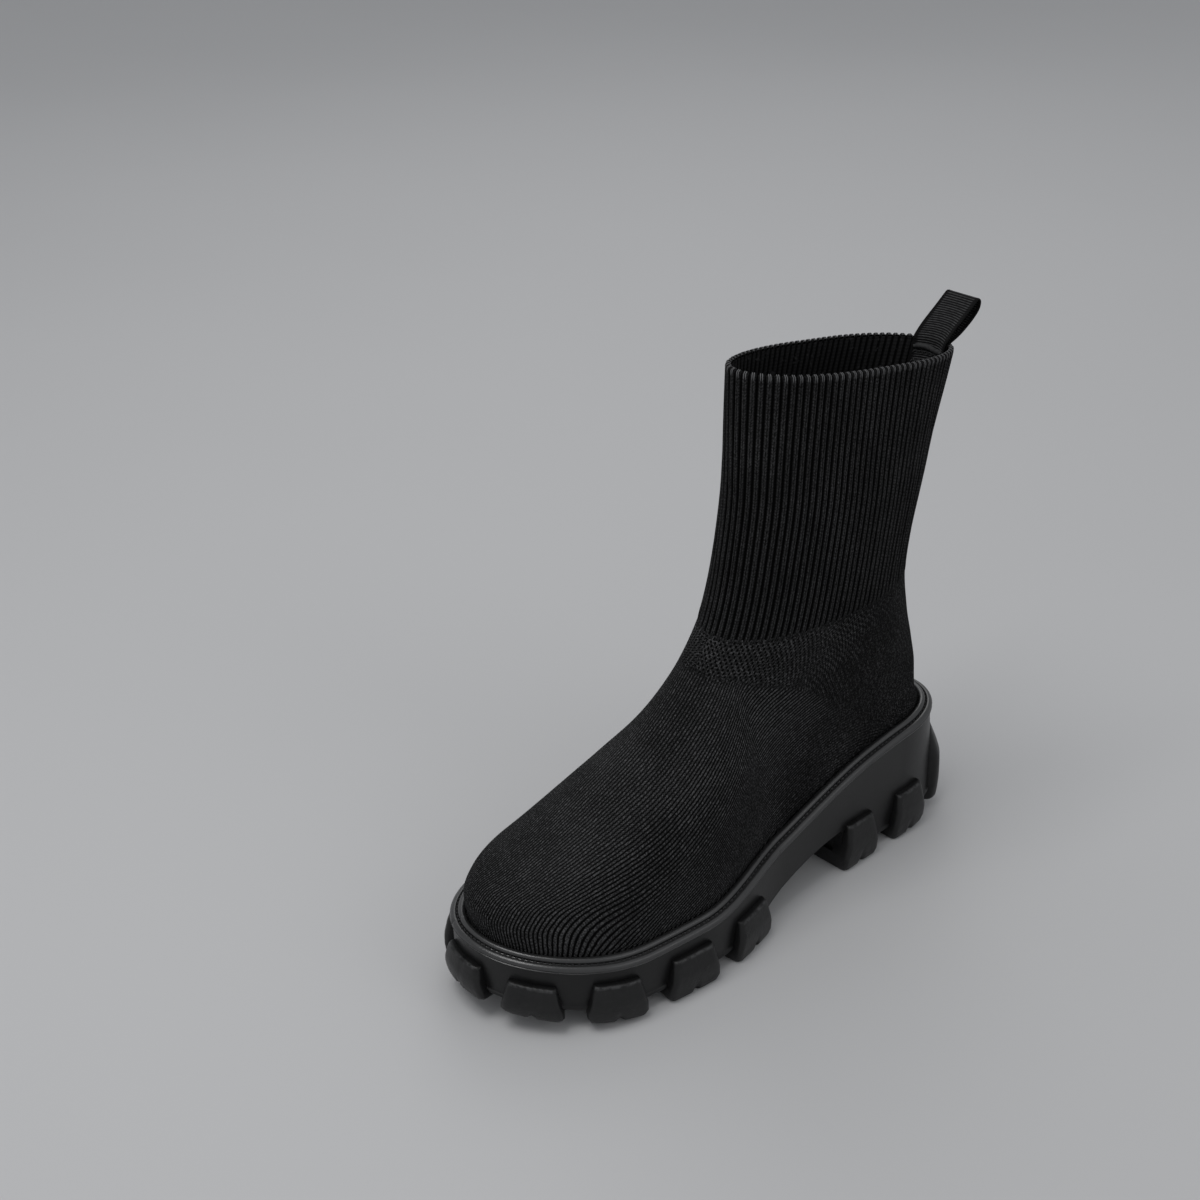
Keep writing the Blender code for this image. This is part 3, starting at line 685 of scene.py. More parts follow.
def moulded_rubber():
    """Matt rubber with a faint mottle, a cast grain on the lugs, and a painted highlight along the lugs'
    upward-tilted top edges.
    """
    made, shader, start = finish("moulded_rubber", (0.018, 0.018, 0.018), 0.45, specular=0.34)
    grain_here = start.value("grain")
    wear_and_painted_highlight = start.value("wear_and_painted_highlight")
    mottle = start.noise(70.0, 4.0, 0.6)
    fine = start.noise(900.0, 3.0, 0.6)
    cast = start.noise(330.0, 3.0, 0.65)
    scuffs = start.noise(150.0, 5.0, 0.75).across(0.58, 0.76) * grain_here
    plain = 0.26 + grain_here * 0.26 + (mottle - 0.5) * 0.6
    plain = plain + (cast - 0.5) * grain_here * 0.8 + scuffs * 0.35
    # Painted highlight: the lugs' upward-tilted top edges are made much lighter, broken into a ragged line
    # by the cast noise.
    shade = (plain.held() * 0.24 + wear_and_painted_highlight * cast.across(0.36, 0.62) * 0.70).held()
    feed(shade.tint(grey(0.0035), grey(0.0620)), shader, "Base Color")
    feed((0.26 + mottle * 0.18 + grain_here * 0.08 + scuffs * 0.10).held(), shader, "Roughness")
    height = fine * 0.25 + cast * grain_here * 0.9 + scuffs * 0.8
    feed(start.bumped(height, 0.00026, 0.8), shader, "Normal")
    return made


def bead_rubber():
    """Smooth rubber with a soft shine, for the welt."""
    made, shader, start = finish("bead_rubber", (0.020, 0.020, 0.020), 0.3, specular=0.9)
    mottle = start.noise(120.0, 3.0, 0.6)
    fine = start.noise(1100.0, 2.0, 0.5)
    feed(mottle.tint(grey(0.0150), grey(0.0280)), shader, "Base Color")
    feed((0.20 + mottle * 0.20).held(), shader, "Roughness")
    feed(start.bumped(fine * 0.5 + mottle * 0.7, 0.00012), shader, "Normal")
    return made


def footbed_fabric():
    """Close woven cloth for the footbed."""
    made, shader, start = finish("footbed_fabric", (0.02, 0.02, 0.02), 0.9)
    weave = start.noise(800.0, 2.0, 0.6)
    feed(weave.tint(grey(0.010), grey(0.030)), shader, "Base Color")
    feed(start.bumped(weave, 0.0002), shader, "Normal")
    return made


def pale_floor():
    made, shader, start = finish("pale_floor", (0.62, 0.62, 0.62), 0.75, specular=0.2)
    cloud = start.noise(1.2, 3.0, 0.5)
    feed(cloud.tint((0.60, 0.60, 0.605, 1), (0.64, 0.64, 0.645, 1)), shader, "Base Color")
    return made


def dress(made, material, slot, *nodes):
    made.data.materials.clear()
    made.data.materials.append(material)
    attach(made, "root")
    if nodes:
        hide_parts(*nodes)
    return made


# The knitted upper
def profile_point(rows, level):
    share = curve_through(column(rows, 0), column(rows, 1), level)
    rise = curve_through(column(rows, 0), [row[2] * row[3] for row in rows], level)
    return TOE_Y + SOLE_LENGTH * share, rise


def bead_offset():
    return LEDGE_OVERHANG - LEDGE_WIDTH - GROOVE_WIDTH - BEAD_RADIUS


def upper_offset():
    return bead_offset() - BEAD_RADIUS - GAP


def section_ring(level, steps, samples=1200):
    """The upper's outer face at a level, without ribs."""
    front_y, front_rise = profile_point(FRONT_ROWS, level)
    back_y, back_rise = profile_point(BACK_ROWS, level)
    front_z = platform(front_y) + front_rise
    back_z = platform(HEEL_Y) + back_rise
    half, shaft, front_round, back_round = (
        curve_through(column(SECTION_ROWS, 0), column(SECTION_ROWS, k), level) for k in (1, 2, 3, 4)
    )
    turn = np.linspace(0, math.pi, samples)
    along = (1 - np.cos(turn)) / 2
    y = front_y + (back_y - front_y) * along
    straight = front_z + (back_z - front_z) * along
    follow = np.clip((FOLLOW_END - level) / (FOLLOW_END - FOOT_FIRST), 0, 1)
    rise = front_rise + (back_rise - front_rise) * along
    z = follow * (platform(y) + rise) + (1 - follow) * straight
    chord = back_y - front_y
    ends = rounded(along * chord / front_round) * rounded((1 - along) * chord / back_round)
    share = length_share(y)
    sides = []
    for side in (1, -1):
        foot = half_width(share, side) + upper_offset()
        width = (foot * (1 - shaft) + half * shaft) * ends
        x = middle_x(share) * (1 - shaft) + SHAFT_X * shaft + side * width
        sides.append(even_steps(np.stack([x, y, z], axis=1), steps))
    return closed_ring(*sides)


def upper_ring(level, steps, edge):
    bottom, first = FOOT_BOTTOM, FOOT_FIRST
    if level <= 0:
        return edge.level(upper_offset(), over_platform(GAP))
    foot = edge.level(upper_offset(), over_platform(BEAD_RISE + BEAD_RADIUS))
    if level >= first:
        return section_ring(level, steps)
    if level < bottom:
        low = edge.level(upper_offset(), over_platform(GAP))
        return low + (foot - low) * level / bottom
    share = (level - bottom) / (first - bottom)
    above = section_ring(first, steps)
    ring = foot + (above - foot) * share
    swell = math.sin(share * math.pi / 2)
    ring[:, :2] = foot[:, :2] + (above[:, :2] - foot[:, :2]) * swell
    return ring


def smoothed_up(rings, passes, keep):
    """Rings eased against their neighbours above and below, but for the first keep of them."""
    stack = np.array(rings)
    for _ in range(passes):
        mean = (stack[:-2] + 2 * stack[1:-1] + stack[2:]) / 4
        stack[1 + keep : -1] = mean[keep:]
    return stack


def run_down(stack):
    """Distance down each column from the last ring."""
    steps = np.linalg.norm(np.diff(stack, axis=0), axis=2)
    down = np.zeros(stack.shape[:2])
    down[:-1] = np.cumsum(steps[::-1], axis=0)[::-1]
    return down


def turn_about_spine(x, y, z, ridge):
    """The angle from straight up at which a point lies round a line inside the foot."""
    spine_x = np.interp(y, ridge[:, 1], ridge[:, 0])
    spine_z = platform(np.clip(y, TOE_Y, HEEL_Y)) + BEAD_RISE
    return np.arctan2(x - spine_x, np.maximum(z - spine_z, 0.0015))


def wale_places(stack):
    """How far each point lies across the foot from the ridge line, and how far along it."""
    half = SIDE_STEPS
    ridge = stack[:, 0]
    cuts = np.linspace(ridge[0, 1] + 0.0006, HEEL_Y - 0.006, 150)
    turns = np.linspace(0, math.pi / 2, 60)
    across = np.zeros(stack.shape[:2])
    sides = ((1, list(range(half + 1))), (-1, [0, *range(2 * half - 1, half - 1, -1)]))
    for side, order in sides:
        table = np.zeros((len(cuts), len(turns)))
        for j, y in enumerate(cuts):
            passed = int(np.searchsorted(ridge[:, 1], y))
            lines = [*stack[:passed, order], ridge]
            path = [[np.interp(y, line[:, 1], line[:, k]) for k in (0, 2)] for line in lines]
            path = np.array(path[::-1])
            length = np.concatenate([[0], np.cumsum(np.linalg.norm(np.diff(path, axis=0), axis=1))])
            turn = np.abs(turn_about_spine(path[:, 0], np.full(len(path), y), path[:, 1], ridge))
            table[j] = np.interp(turns, np.maximum.accumulate(turn), length)
        points = stack[:, order]
        turn = np.abs(turn_about_spine(points[:, :, 0], points[:, :, 1], points[:, :, 2], ridge))
        row = np.clip(np.interp(points[:, :, 1], cuts, np.arange(len(cuts))), 0, len(cuts) - 1.001)
        place = np.clip(turn / turns[1], 0, len(turns) - 1.001)
        a, b = row.astype(int), place.astype(int)
        u, v = row - a, place - b
        low = table[a, b] * (1 - v) + table[a, b + 1] * v
        high = table[a + 1, b] * (1 - v) + table[a + 1, b + 1] * v
        across[:, order] = side * (low * (1 - u) + high * u)
    run = np.concatenate([[0], np.cumsum(np.linalg.norm(np.diff(ridge, axis=0), axis=1))])
    along = np.interp(stack[:, :, 1], ridge[:, 1], run)
    y = stack[:, :, 1]
    spread = 1 + TOE_SPREAD * eased((SPREAD_START_Y - y) / (SPREAD_START_Y - TOE_Y))
    fold = eased((FOLD_START_Y - y) / FOLD_LENGTH)
    plan = (stack[:, :, 0] - np.interp(y, ridge[:, 1], ridge[:, 0])) * FOLD_SPREAD
    run_down_front = np.clip(stack[0, 0, 2] + TOE_BOX_RISE - stack[:, :, 2], 0, None) * fold
    return (across * (1 - fold) + plan * fold) / spread, along - run_down_front


def grid_faces(rows, count):
    faces = []
    for k in range(rows - 1):
        faces += strip_faces(k * count, (k + 1) * count, count)
    return faces


def knit_foot(material):
    """The knit from the platform to the ribs, with the maps and masks that its finish reads."""
    count = 2 * SIDE_STEPS
    edge = Edge(SIDE_STEPS)
    levels = [0.0, 0.02, 0.04, *np.linspace(0.046, RIB_LEVEL + 0.004, 104)]
    stack = smoothed_up([upper_ring(level, SIDE_STEPS, edge) for level in levels], 6, 2)
    down = run_down(stack)
    across, along = wale_places(stack)
    lengths = np.linalg.norm(np.roll(stack, -1, axis=1) - stack, axis=2)
    around = np.cumsum(lengths, axis=1) - lengths
    turn = np.arange(count) / SIDE_STEPS
    back = np.where(turn <= 1, turn, 2 - turn)
    reach = BAND_REACH + BAND_REACH_BACK * back**2
    edge_of_band = eased((reach - down) / 0.006 + 0.5)
    sideways = eased((back - 0.30) / 0.22)
    made = mesh_piece("knit_foot", stack.reshape(-1, 3), grid_faces(len(stack), count))
    corner_map(made, "wales", np.stack([across, along], axis=2).reshape(-1, 2))
    corner_map(made, "rings", np.stack([around, down], axis=2).reshape(-1, 2))
    point_value(made, "band", (edge_of_band * (1 - sideways)).reshape(-1))
    point_value(made, "flank", (edge_of_band * np.ones_like(down)).reshape(-1))
    point_value(made, "plain", (eased((back - 0.50) / 0.16) * np.ones_like(down)).reshape(-1))
    share = length_share(stack[:, :, 1])
    top = eased(1 - (np.abs(across) - 0.020) / 0.020) * eased((share - 0.02) / 0.10)
    point_value(made, "holes", top.reshape(-1))
    return dress(made, material, "knit", "upper")


# One rib: how far it stands out, and how light it is, at its samples
RIB_PROFILE = np.array([-0.60, -0.22, 0.30, 0.40, 0.34, 0.40, 0.30, -0.22]) / 1000
RIB_CREST = np.array([0.0, 0.10, 0.65, 1.0, 0.80, 1.0, 0.65, 0.10])


def ribbed_shaft(material):
    """Ribs from the ankle to the rim, and over the rim's small teeth."""
    count = 2 * SIDE_STEPS
    levels = np.linspace(RIB_LEVEL - 0.002, 1.0, 64)
    stack = np.array([section_ring(level, SIDE_STEPS) for level in levels])
    normals = grid_normals(stack)
    run = run_down(stack[::-1])[::-1]
    profile = np.tile(RIB_PROFILE, RIBS)
    crest = np.tile(RIB_CREST, RIBS)
    rise = eased(run / RIB_FADE)
    waver = RIB_WAVER * np.sin(run / RIB_WAVER_RUN + 2.3 * np.floor(np.arange(count) / RIB_SAMPLES))
    outer = stack + normals * (profile * rise + waver * rise)[:, :, None]
    top = outer[-1]
    across = normals[-1] * [1, 1, 0]
    across /= np.linalg.norm(across, axis=1)[:, None]
    tooth = (RIM_TOOTH * crest)[:, None] * [0, 0, 1]
    rim = [
        top - across * 0.0003 + tooth * 0.7 + [0, 0, 0.0003],
        stack[-1] - across * WALL * 0.5 + tooth + [0, 0, 0.0006],
        stack[-1] - across * WALL * 0.9 + tooth * 0.7 + [0, 0, 0.0002],
    ]
    rows = [*outer, *rim]
    made = mesh_piece("ribbed_shaft", np.concatenate(rows), grid_faces(len(rows), count))
    ribs = np.tile(np.arange(count) / RIB_SAMPLES, len(rows))
    along = np.concatenate([run.reshape(-1), *[run[-1] + 0.001 * (k + 1) for k in range(len(rim))]])
    corner_map(made, "ribs", np.column_stack([ribs, along]))
    soft = 0.5 + (crest[None, :] - 0.5) * rise
    point_value(made, "crest", np.concatenate([soft.reshape(-1), *[crest] * len(rim)]))
    near_rim = eased(1 - (run[-1] - run) / RIM_LOOP)
    point_value(made, "rim", np.concatenate([(near_rim * crest).reshape(-1), *[crest] * len(rim)]))
    return dress(made, material, "knit", "upper")


def shaft_lining(material):
    """The inside of the knit, from the rim down to the footbed."""
    count = 2 * SIDE_STEPS
    edge = Edge(SIDE_STEPS)
    foot_levels = (0.58, 0.52, 0.46, 0.40, 0.34, 0.28, 0.22, 0.17, 0.13, FOOT_FIRST, FOOT_BOTTOM)
    levels = [*np.linspace(1.0, RIB_LEVEL, 34), *foot_levels]
    stack = np.array([upper_ring(level, SIDE_STEPS, edge) for level in levels])
    normals = -grid_normals(stack)
    inner = stack - normals * WALL * 0.93
    run = run_down(inner[::-1])[::-1]
    profile = np.tile(RIB_PROFILE, RIBS) * 0.55
    inner = inner - normals * (profile * eased((0.12 - run) / 0.02) * eased(run / 0.002))[:, :, None]
    made = mesh_piece("shaft_lining", inner.reshape(-1, 3), grid_faces(len(inner), count))
    ribs = np.tile(np.arange(count) / RIB_SAMPLES, len(inner))
    corner_map(made, "ribs", np.column_stack([ribs, run.reshape(-1)]))
    point_value(made, "crest", np.tile(np.tile(RIB_CREST, RIBS), len(inner)))
    return dress(made, material, "knit", "upper")


def footbed(material):
    """The padded insole, slightly dished, inside the lining."""
    edge = Edge(160)
    out = upper_offset() - WALL - GAP
    top = GAP + INSOLE_THICKNESS
    section = (
        (out, GAP),
        (out, top - 0.0012),
        (out - 0.0002, top - 0.0006),
        (out - 0.0006, top - 0.0002),
        (out - 0.0012, top),
        (out - 0.0030, top - 0.0002),
        (out - 0.0070, top - 0.0008),
    )
    rows = [edge.level(offset, over_platform(rise)) for offset, rise in section]
    count = 2 * edge.steps
    faces = grid_faces(len(rows), count) + crossing_cap(0, edge.steps)
    faces += crossing_cap((len(rows) - 1) * count, edge.steps)
    made = facing_out(mesh_piece("footbed", np.concatenate(rows), faces, sharp=50))
    return dress(made, material, "lining", "insole")


# The pull loop
def halved_corners(line, times):
    for _ in range(times):
        before = 0.75 * line[:-1] + 0.25 * line[1:]
        after = 0.25 * line[:-1] + 0.75 * line[1:]
        cut = np.stack([before, after], axis=1).reshape(-1, line.shape[1])
        line = np.concatenate([line[:1], cut[1:-1], line[-1:]])
    return line


def collar_back(x, depth):
    """The collar's inner face at its back: y at an x and a depth under the rim."""
    steps = 40
    places = []
    for level in (1.0, 0.87):
        ring = section_ring(level, steps)
        wall = ring - grid_normals([section_ring(level - 0.02, steps), ring])[1] * WALL
        near = wall[steps - steps // 4 : steps + steps // 4 + 1]
        order = np.argsort(near[:, 0])
        places.append([np.interp(x, near[order, 0], near[order, k]) for k in (1, 2)])
    (top_y, top_z), (low_y, low_z) = places
    return top_y + (low_y - top_y) * depth / (top_z - low_z)


def strap_sheet(across):
    """The strap's middle surface: one row of points over its width for each place along it."""
    rim = section_ring(1.0, 40)[40]
    tail_y = -GAP - 0.0006 - 0.5 * LOOP_THICKNESS
    path = [(LOOP_LEAN * lean, LOOP_HEIGHT * height, keep / 1000) for lean, height, keep in LOOP_ROWS]
    path = np.array(path)
    steps = (1.0, 0.55, 0.2)
    down = [path[0] - [0, LOOP_TAIL * step, 0] for step in steps]
    up = [path[-1] - [0, LOOP_TAIL * step, 0] for step in reversed(steps)]
    line = even_steps(halved_corners(np.concatenate([down, path, up]), 3), 460)
    rows = []
    for y, z, kept in line:
        keep = 1000 * kept
        x = rim[0] + across
        depth = max(-z, 0.0)
        curved = collar_back(x, depth)
        flat = collar_back(np.full(len(x), rim[0]), depth)
        place_y = keep * curved + (1 - keep) * flat + tail_y + y
        rows.append(np.column_stack([x, place_y, np.full(len(x), rim[2] + z)]))
    return np.array(rows)


def pull_strap(material):
    """The whole strap, one closed tape with a raised cord at each pitch."""
    shares = np.array([-0.5, -0.49, -0.46, -0.38, -0.25, -0.1, 0.1, 0.25, 0.38, 0.46, 0.49, 0.5])
    sheet = strap_sheet(shares * LOOP_WIDTH)
    normal = np.cross(np.gradient(sheet, axis=1), np.gradient(sheet, axis=0))
    normal /= np.linalg.norm(normal, axis=2)[:, :, None]
    run = np.concatenate([[0], np.cumsum(np.linalg.norm(np.diff(sheet[:, 6], axis=0), axis=1))])
    edge = 1 - np.clip(np.abs(shares) / 0.5, 0, 1) ** 14
    cords = 0.5 + 0.5 * np.cos(2 * math.pi * run / CORD_PITCH)
    inside = (np.abs(shares) < CORDED_SHARE).astype(float)
    lift = 0.5 * LOOP_THICKNESS * (0.45 + 0.55 * edge)[None, :]
    lift = lift - CORD_DEPTH * (1 - cords)[:, None] * inside[None, :]
    front = sheet + normal * lift[:, :, None]
    back = sheet - normal * lift[:, :, None]
    rows, width = sheet.shape[:2]
    loop = np.concatenate([front, back[:, ::-1]], axis=1)
    count = 2 * width
    faces = grid_faces(rows, count)
    for base in (0, (rows - 1) * count):
        last = base + count - 1
        faces += [(base + j, base + j + 1, last - j - 1, last - j) for j in range(width - 1)]
    made = facing_out(mesh_piece("pull_strap", loop.reshape(-1, 3), faces, sharp=60))
    both = np.concatenate([shares, shares[::-1]]) * LOOP_WIDTH
    corner_map(made, "strap", np.column_stack([np.tile(both, rows), np.repeat(run, count)]))
    corded = np.abs(both) < CORDED_SHARE * LOOP_WIDTH
    point_value(made, "crest", np.repeat(cords, count) * np.tile(corded, rows))
    return dress(made, material, "webbing", "pull_loop")


def collar_fold(material, thread_material):
    """The strap's turned end just inside the rim, and the zigzag stitches that hold its tail."""
    sheet = strap_sheet(np.linspace(-0.44, 0.44, 15) * LOOP_WIDTH)
    run = np.concatenate([[0], np.cumsum(np.linalg.norm(np.diff(sheet[:, 7], axis=0), axis=1))])
    clear = 0.5 * LOOP_THICKNESS
    row = int(np.searchsorted(run, LOOP_TAIL - FOLD_DEPTH))
    path = sheet[row] + [0, -clear - 0.3 * FOLD_RADIUS, 0]
    path[:, 2] += 0.0004 * np.sin(np.linspace(0, 7, len(path)))
    fold = cord_piece("collar_fold", [path], FOLD_RADIUS, 16)
    point_value(fold, "crest", np.full(len(fold.data.vertices), 0.6))
    dress(fold, material, "webbing")
    paths = []
    for place in (0.28, 0.62):
        low = int(np.searchsorted(run, LOOP_TAIL * place))
        high = int(np.searchsorted(run, LOOP_TAIL * place + ZIGZAG))
        for j in range(sheet.shape[1] - 1):
            ends = (low, high) if j % 2 == 0 else (high, low)
            share = np.linspace(0, 1, 6)[:, None]
            stitch = sheet[ends[0], j] * (1 - share) + sheet[ends[1], j + 1] * share
            stitch[:, 1] -= clear + np.array([-0.0002, 0.0002, 0.0003, 0.0003, 0.0002, -0.0002])
            paths.append(stitch)
    return dress(cord_piece("collar_stitches", paths, COLLAR_THREAD, 6), thread_material, "webbing")


def cord_piece(name, paths, radius, sides=8):
    """Short lengths of thread, each a tube with closed ends."""
    points = []
    faces = []
    total = 0
    for path in paths:
        path = np.asarray(path, float)
        along = np.gradient(path, axis=0)
        along /= np.linalg.norm(along, axis=1)[:, None]
        side = np.cross(along, [0.31, 0.17, 0.93])
        side /= np.linalg.norm(side, axis=1)[:, None]
        over = np.cross(along, side)
        size = radius * np.clip(np.sin(np.linspace(0.25, math.pi - 0.25, len(path))) * 2.2, 0.3, 1)
        for j in range(sides):
            turn = 2 * math.pi * j / sides
            points.append(path + (side * math.cos(turn) + over * math.sin(turn)) * size[:, None])
        steps = len(path)
        for j in range(sides):
            a = total + j * steps
            b = total + ((j + 1) % sides) * steps
            faces += [(a + k, a + k + 1, b + k + 1, b + k) for k in range(steps - 1)]
        faces.append(tuple(total + j * steps for j in range(sides)))
        faces.append(tuple(total + j * steps + steps - 1 for j in reversed(range(sides))))
        total += sides * steps
    return facing_out(mesh_piece(name, np.concatenate(points), faces, sharp=60))


# The welt and the sole
def welt_strip(material):
    """The ledge, the groove and the bead as one ring, with a mark where its ends meet."""
    edge = Edge(300)
    section = [
        (LEDGE_OVERHANG, GAP),
        (LEDGE_OVERHANG + 0.0002, 0.0008),
        (LEDGE_OVERHANG - 0.0002, 0.0011),
        (LEDGE_OVERHANG - 0.0002, 0.0014),
        (LEDGE_OVERHANG + 0.0002, 0.0017),
        (LEDGE_OVERHANG, LEDGE_HEIGHT - 0.0013),
        (LEDGE_OVERHANG - 0.0003, LEDGE_HEIGHT - 0.0008),
        (LEDGE_OVERHANG - 0.0012, LEDGE_HEIGHT - 0.0002),
        (LEDGE_OVERHANG - LEDGE_WIDTH + 0.0004, LEDGE_HEIGHT),
        (LEDGE_OVERHANG - LEDGE_WIDTH + 0.0001, LEDGE_HEIGHT - 0.0002),
        (LEDGE_OVERHANG - LEDGE_WIDTH, LEDGE_HEIGHT - GROOVE_DEPTH),
    ]
    for degrees in range(-25, 200, 15):
        turn = math.radians(degrees)
        offset = bead_offset() + BEAD_RADIUS * math.cos(turn)
        section.append((offset, BEAD_RISE + BEAD_RADIUS * math.sin(turn)))
    section.append((bead_offset() - BEAD_RADIUS, GAP))
    rows = [edge.level(offset, over_platform(rise)) for offset, rise in section]
    count = 2 * edge.steps
    joint = count - int(JOINT_SHARE * edge.steps)
    inwards = np.append(edge.out[joint], 1.0) * JOINT_DEPTH
    for row in rows[1:-1]:
        row[joint] -= inwards
    faces = grid_faces(len(rows), count) + strip_faces((len(rows) - 1) * count, 0, count)
    made = facing_out(mesh_piece("welt_strip", np.concatenate(rows), faces, sharp=50))
    return dress(made, material, "welt_rubber", "welt")


def groove_stitches(material):
    """Small stitches that lie in the welt's groove."""
    edge = Edge(900)
    run = np.linalg.norm(np.roll(edge.ring, -1, axis=0) - edge.ring, axis=1).sum()
    number = int(run / GROOVE_STITCH)
    offset = LEDGE_OVERHANG - LEDGE_WIDTH - 0.5 * GROOVE_WIDTH
    line = edge.level(offset, over_platform(LEDGE_HEIGHT - 0.0003))
    line = np.concatenate([line, line[:1]])
    fine = even_steps(line, number * 10)
    sag = np.array([-0.0006, -0.0002, 0.0, 0.0, -0.0002, -0.0006])
    paths = []
    for k in range(number):
        stitch = fine[10 * k : 10 * k + 6].copy()
        stitch[:, 2] += sag
        paths.append(stitch)
    return dress(cord_piece("groove_stitches", paths, GROOVE_THREAD, 6), material, "welt_rubber")


def heel_flare(out):
    return HEEL_FLARE * np.clip(out[:, 1], 0, 1) ** 2


def wall_height(sill, share):
    """A height between the lip's top and the platform, for any y."""
    return lambda y: sill(y) + LIP_TOP + (platform(y) - sill(y) - LIP_TOP) * share


def sole_body():
    """The platform without its arch and lugs, with a small lip round its foot."""
    edge = Edge(200)
    flare = heel_flare(edge.out)

    def sill(y):
        return SILL_HEIGHT + floor_lift(y)

    levels = [
        edge.level(flare - 0.0016, sill),
        edge.level(flare - 0.0004, lambda y: sill(y) + 0.0001),
        edge.level(flare + 0.0001, lambda y: sill(y) + 0.0005),
        edge.level(flare + 0.0003, lambda y: sill(y) + 0.0011),
        edge.level(flare + 0.0001, lambda y: sill(y) + 0.0018),
        edge.level(flare - 0.0004, lambda y: sill(y) + 0.0023),
        edge.level(flare - 0.0005, lambda y: sill(y) + LIP_TOP),
    ]
    for share in np.linspace(0.12, 1.0, 9):
        levels.append(edge.level(flare * (1 - share) - 0.0004 * (1 - share), wall_height(sill, share)))
    count = 2 * edge.steps
    faces = grid_faces(len(levels), count) + crossing_cap(0, edge.steps)
    faces += crossing_cap((len(levels) - 1) * count, edge.steps)
    return facing_out(mesh_piece("moulded_sole", np.concatenate(levels), faces))


def arch_block():
    """What the arch takes away under the waist."""
    reach = 2 * (BALL_OUTER + BALL_INNER)
    steps = 40
    low = SILL_HEIGHT - LUG_HEIGHT
    side = [(ARCH_START_Y, low), (BREAST_Y, low)]
    for k in range(steps, -1, -1):
        share = k / steps
        y = ARCH_START_Y + (BREAST_Y - ARCH_START_Y) * share
        side.append((y, SILL_HEIGHT - GAP + ARCH_RISE * math.sin(share * math.pi / 2)))
    points = [(-reach / 2, y, z) for y, z in side] + [(reach / 2, y, z) for y, z in side]
    count = len(side)
    faces = strip_faces(0, count, count)
    faces += [tuple(range(count)), tuple(range(2 * count - 1, count - 1, -1))]
    return facing_out(mesh_piece("arch_block", points, faces))


EDGE_LOOP = np.concatenate([sole_edge(700), sole_edge(700)[:1]])
EDGE_RUN = np.concatenate([[0], np.cumsum(np.linalg.norm(np.diff(EDGE_LOOP, axis=0), axis=1))])


def edge_places(side, distances):
    """Points at distances along one side's edge from the toe, with their outward vectors."""
    at = np.asarray(distances, float) * (1 if side == "outer" else -1)
    step = SOLE_LENGTH / 150

    def point(where):
        turned = np.mod(where, EDGE_RUN[-1])
        return np.stack([np.interp(turned, EDGE_RUN, EDGE_LOOP[:, k]) for k in (0, 1)], axis=1)

    along = point(at + step) - point(at - step)
    out = np.stack([along[:, 1], -along[:, 0]], axis=1)
    return point(at), out / np.linalg.norm(out, axis=1)[:, None]


def lug_cap(base, count):
    """Triangles from a level's outer points to the three points at its back."""
    front = count - 3
    high, mid, low = (base + front + k for k in range(3))
    near = front // 4
    far = front - 1 - near
    faces = [(base + j, base + j + 1, low) for j in range(near)]
    faces.append((base + near, mid, low))
    faces += [(base + j, base + j + 1, mid) for j in range(near, far)]
    faces.append((base + far, high, mid))
    faces += [(base + j, base + j + 1, high) for j in range(far, front - 1)]
    return faces


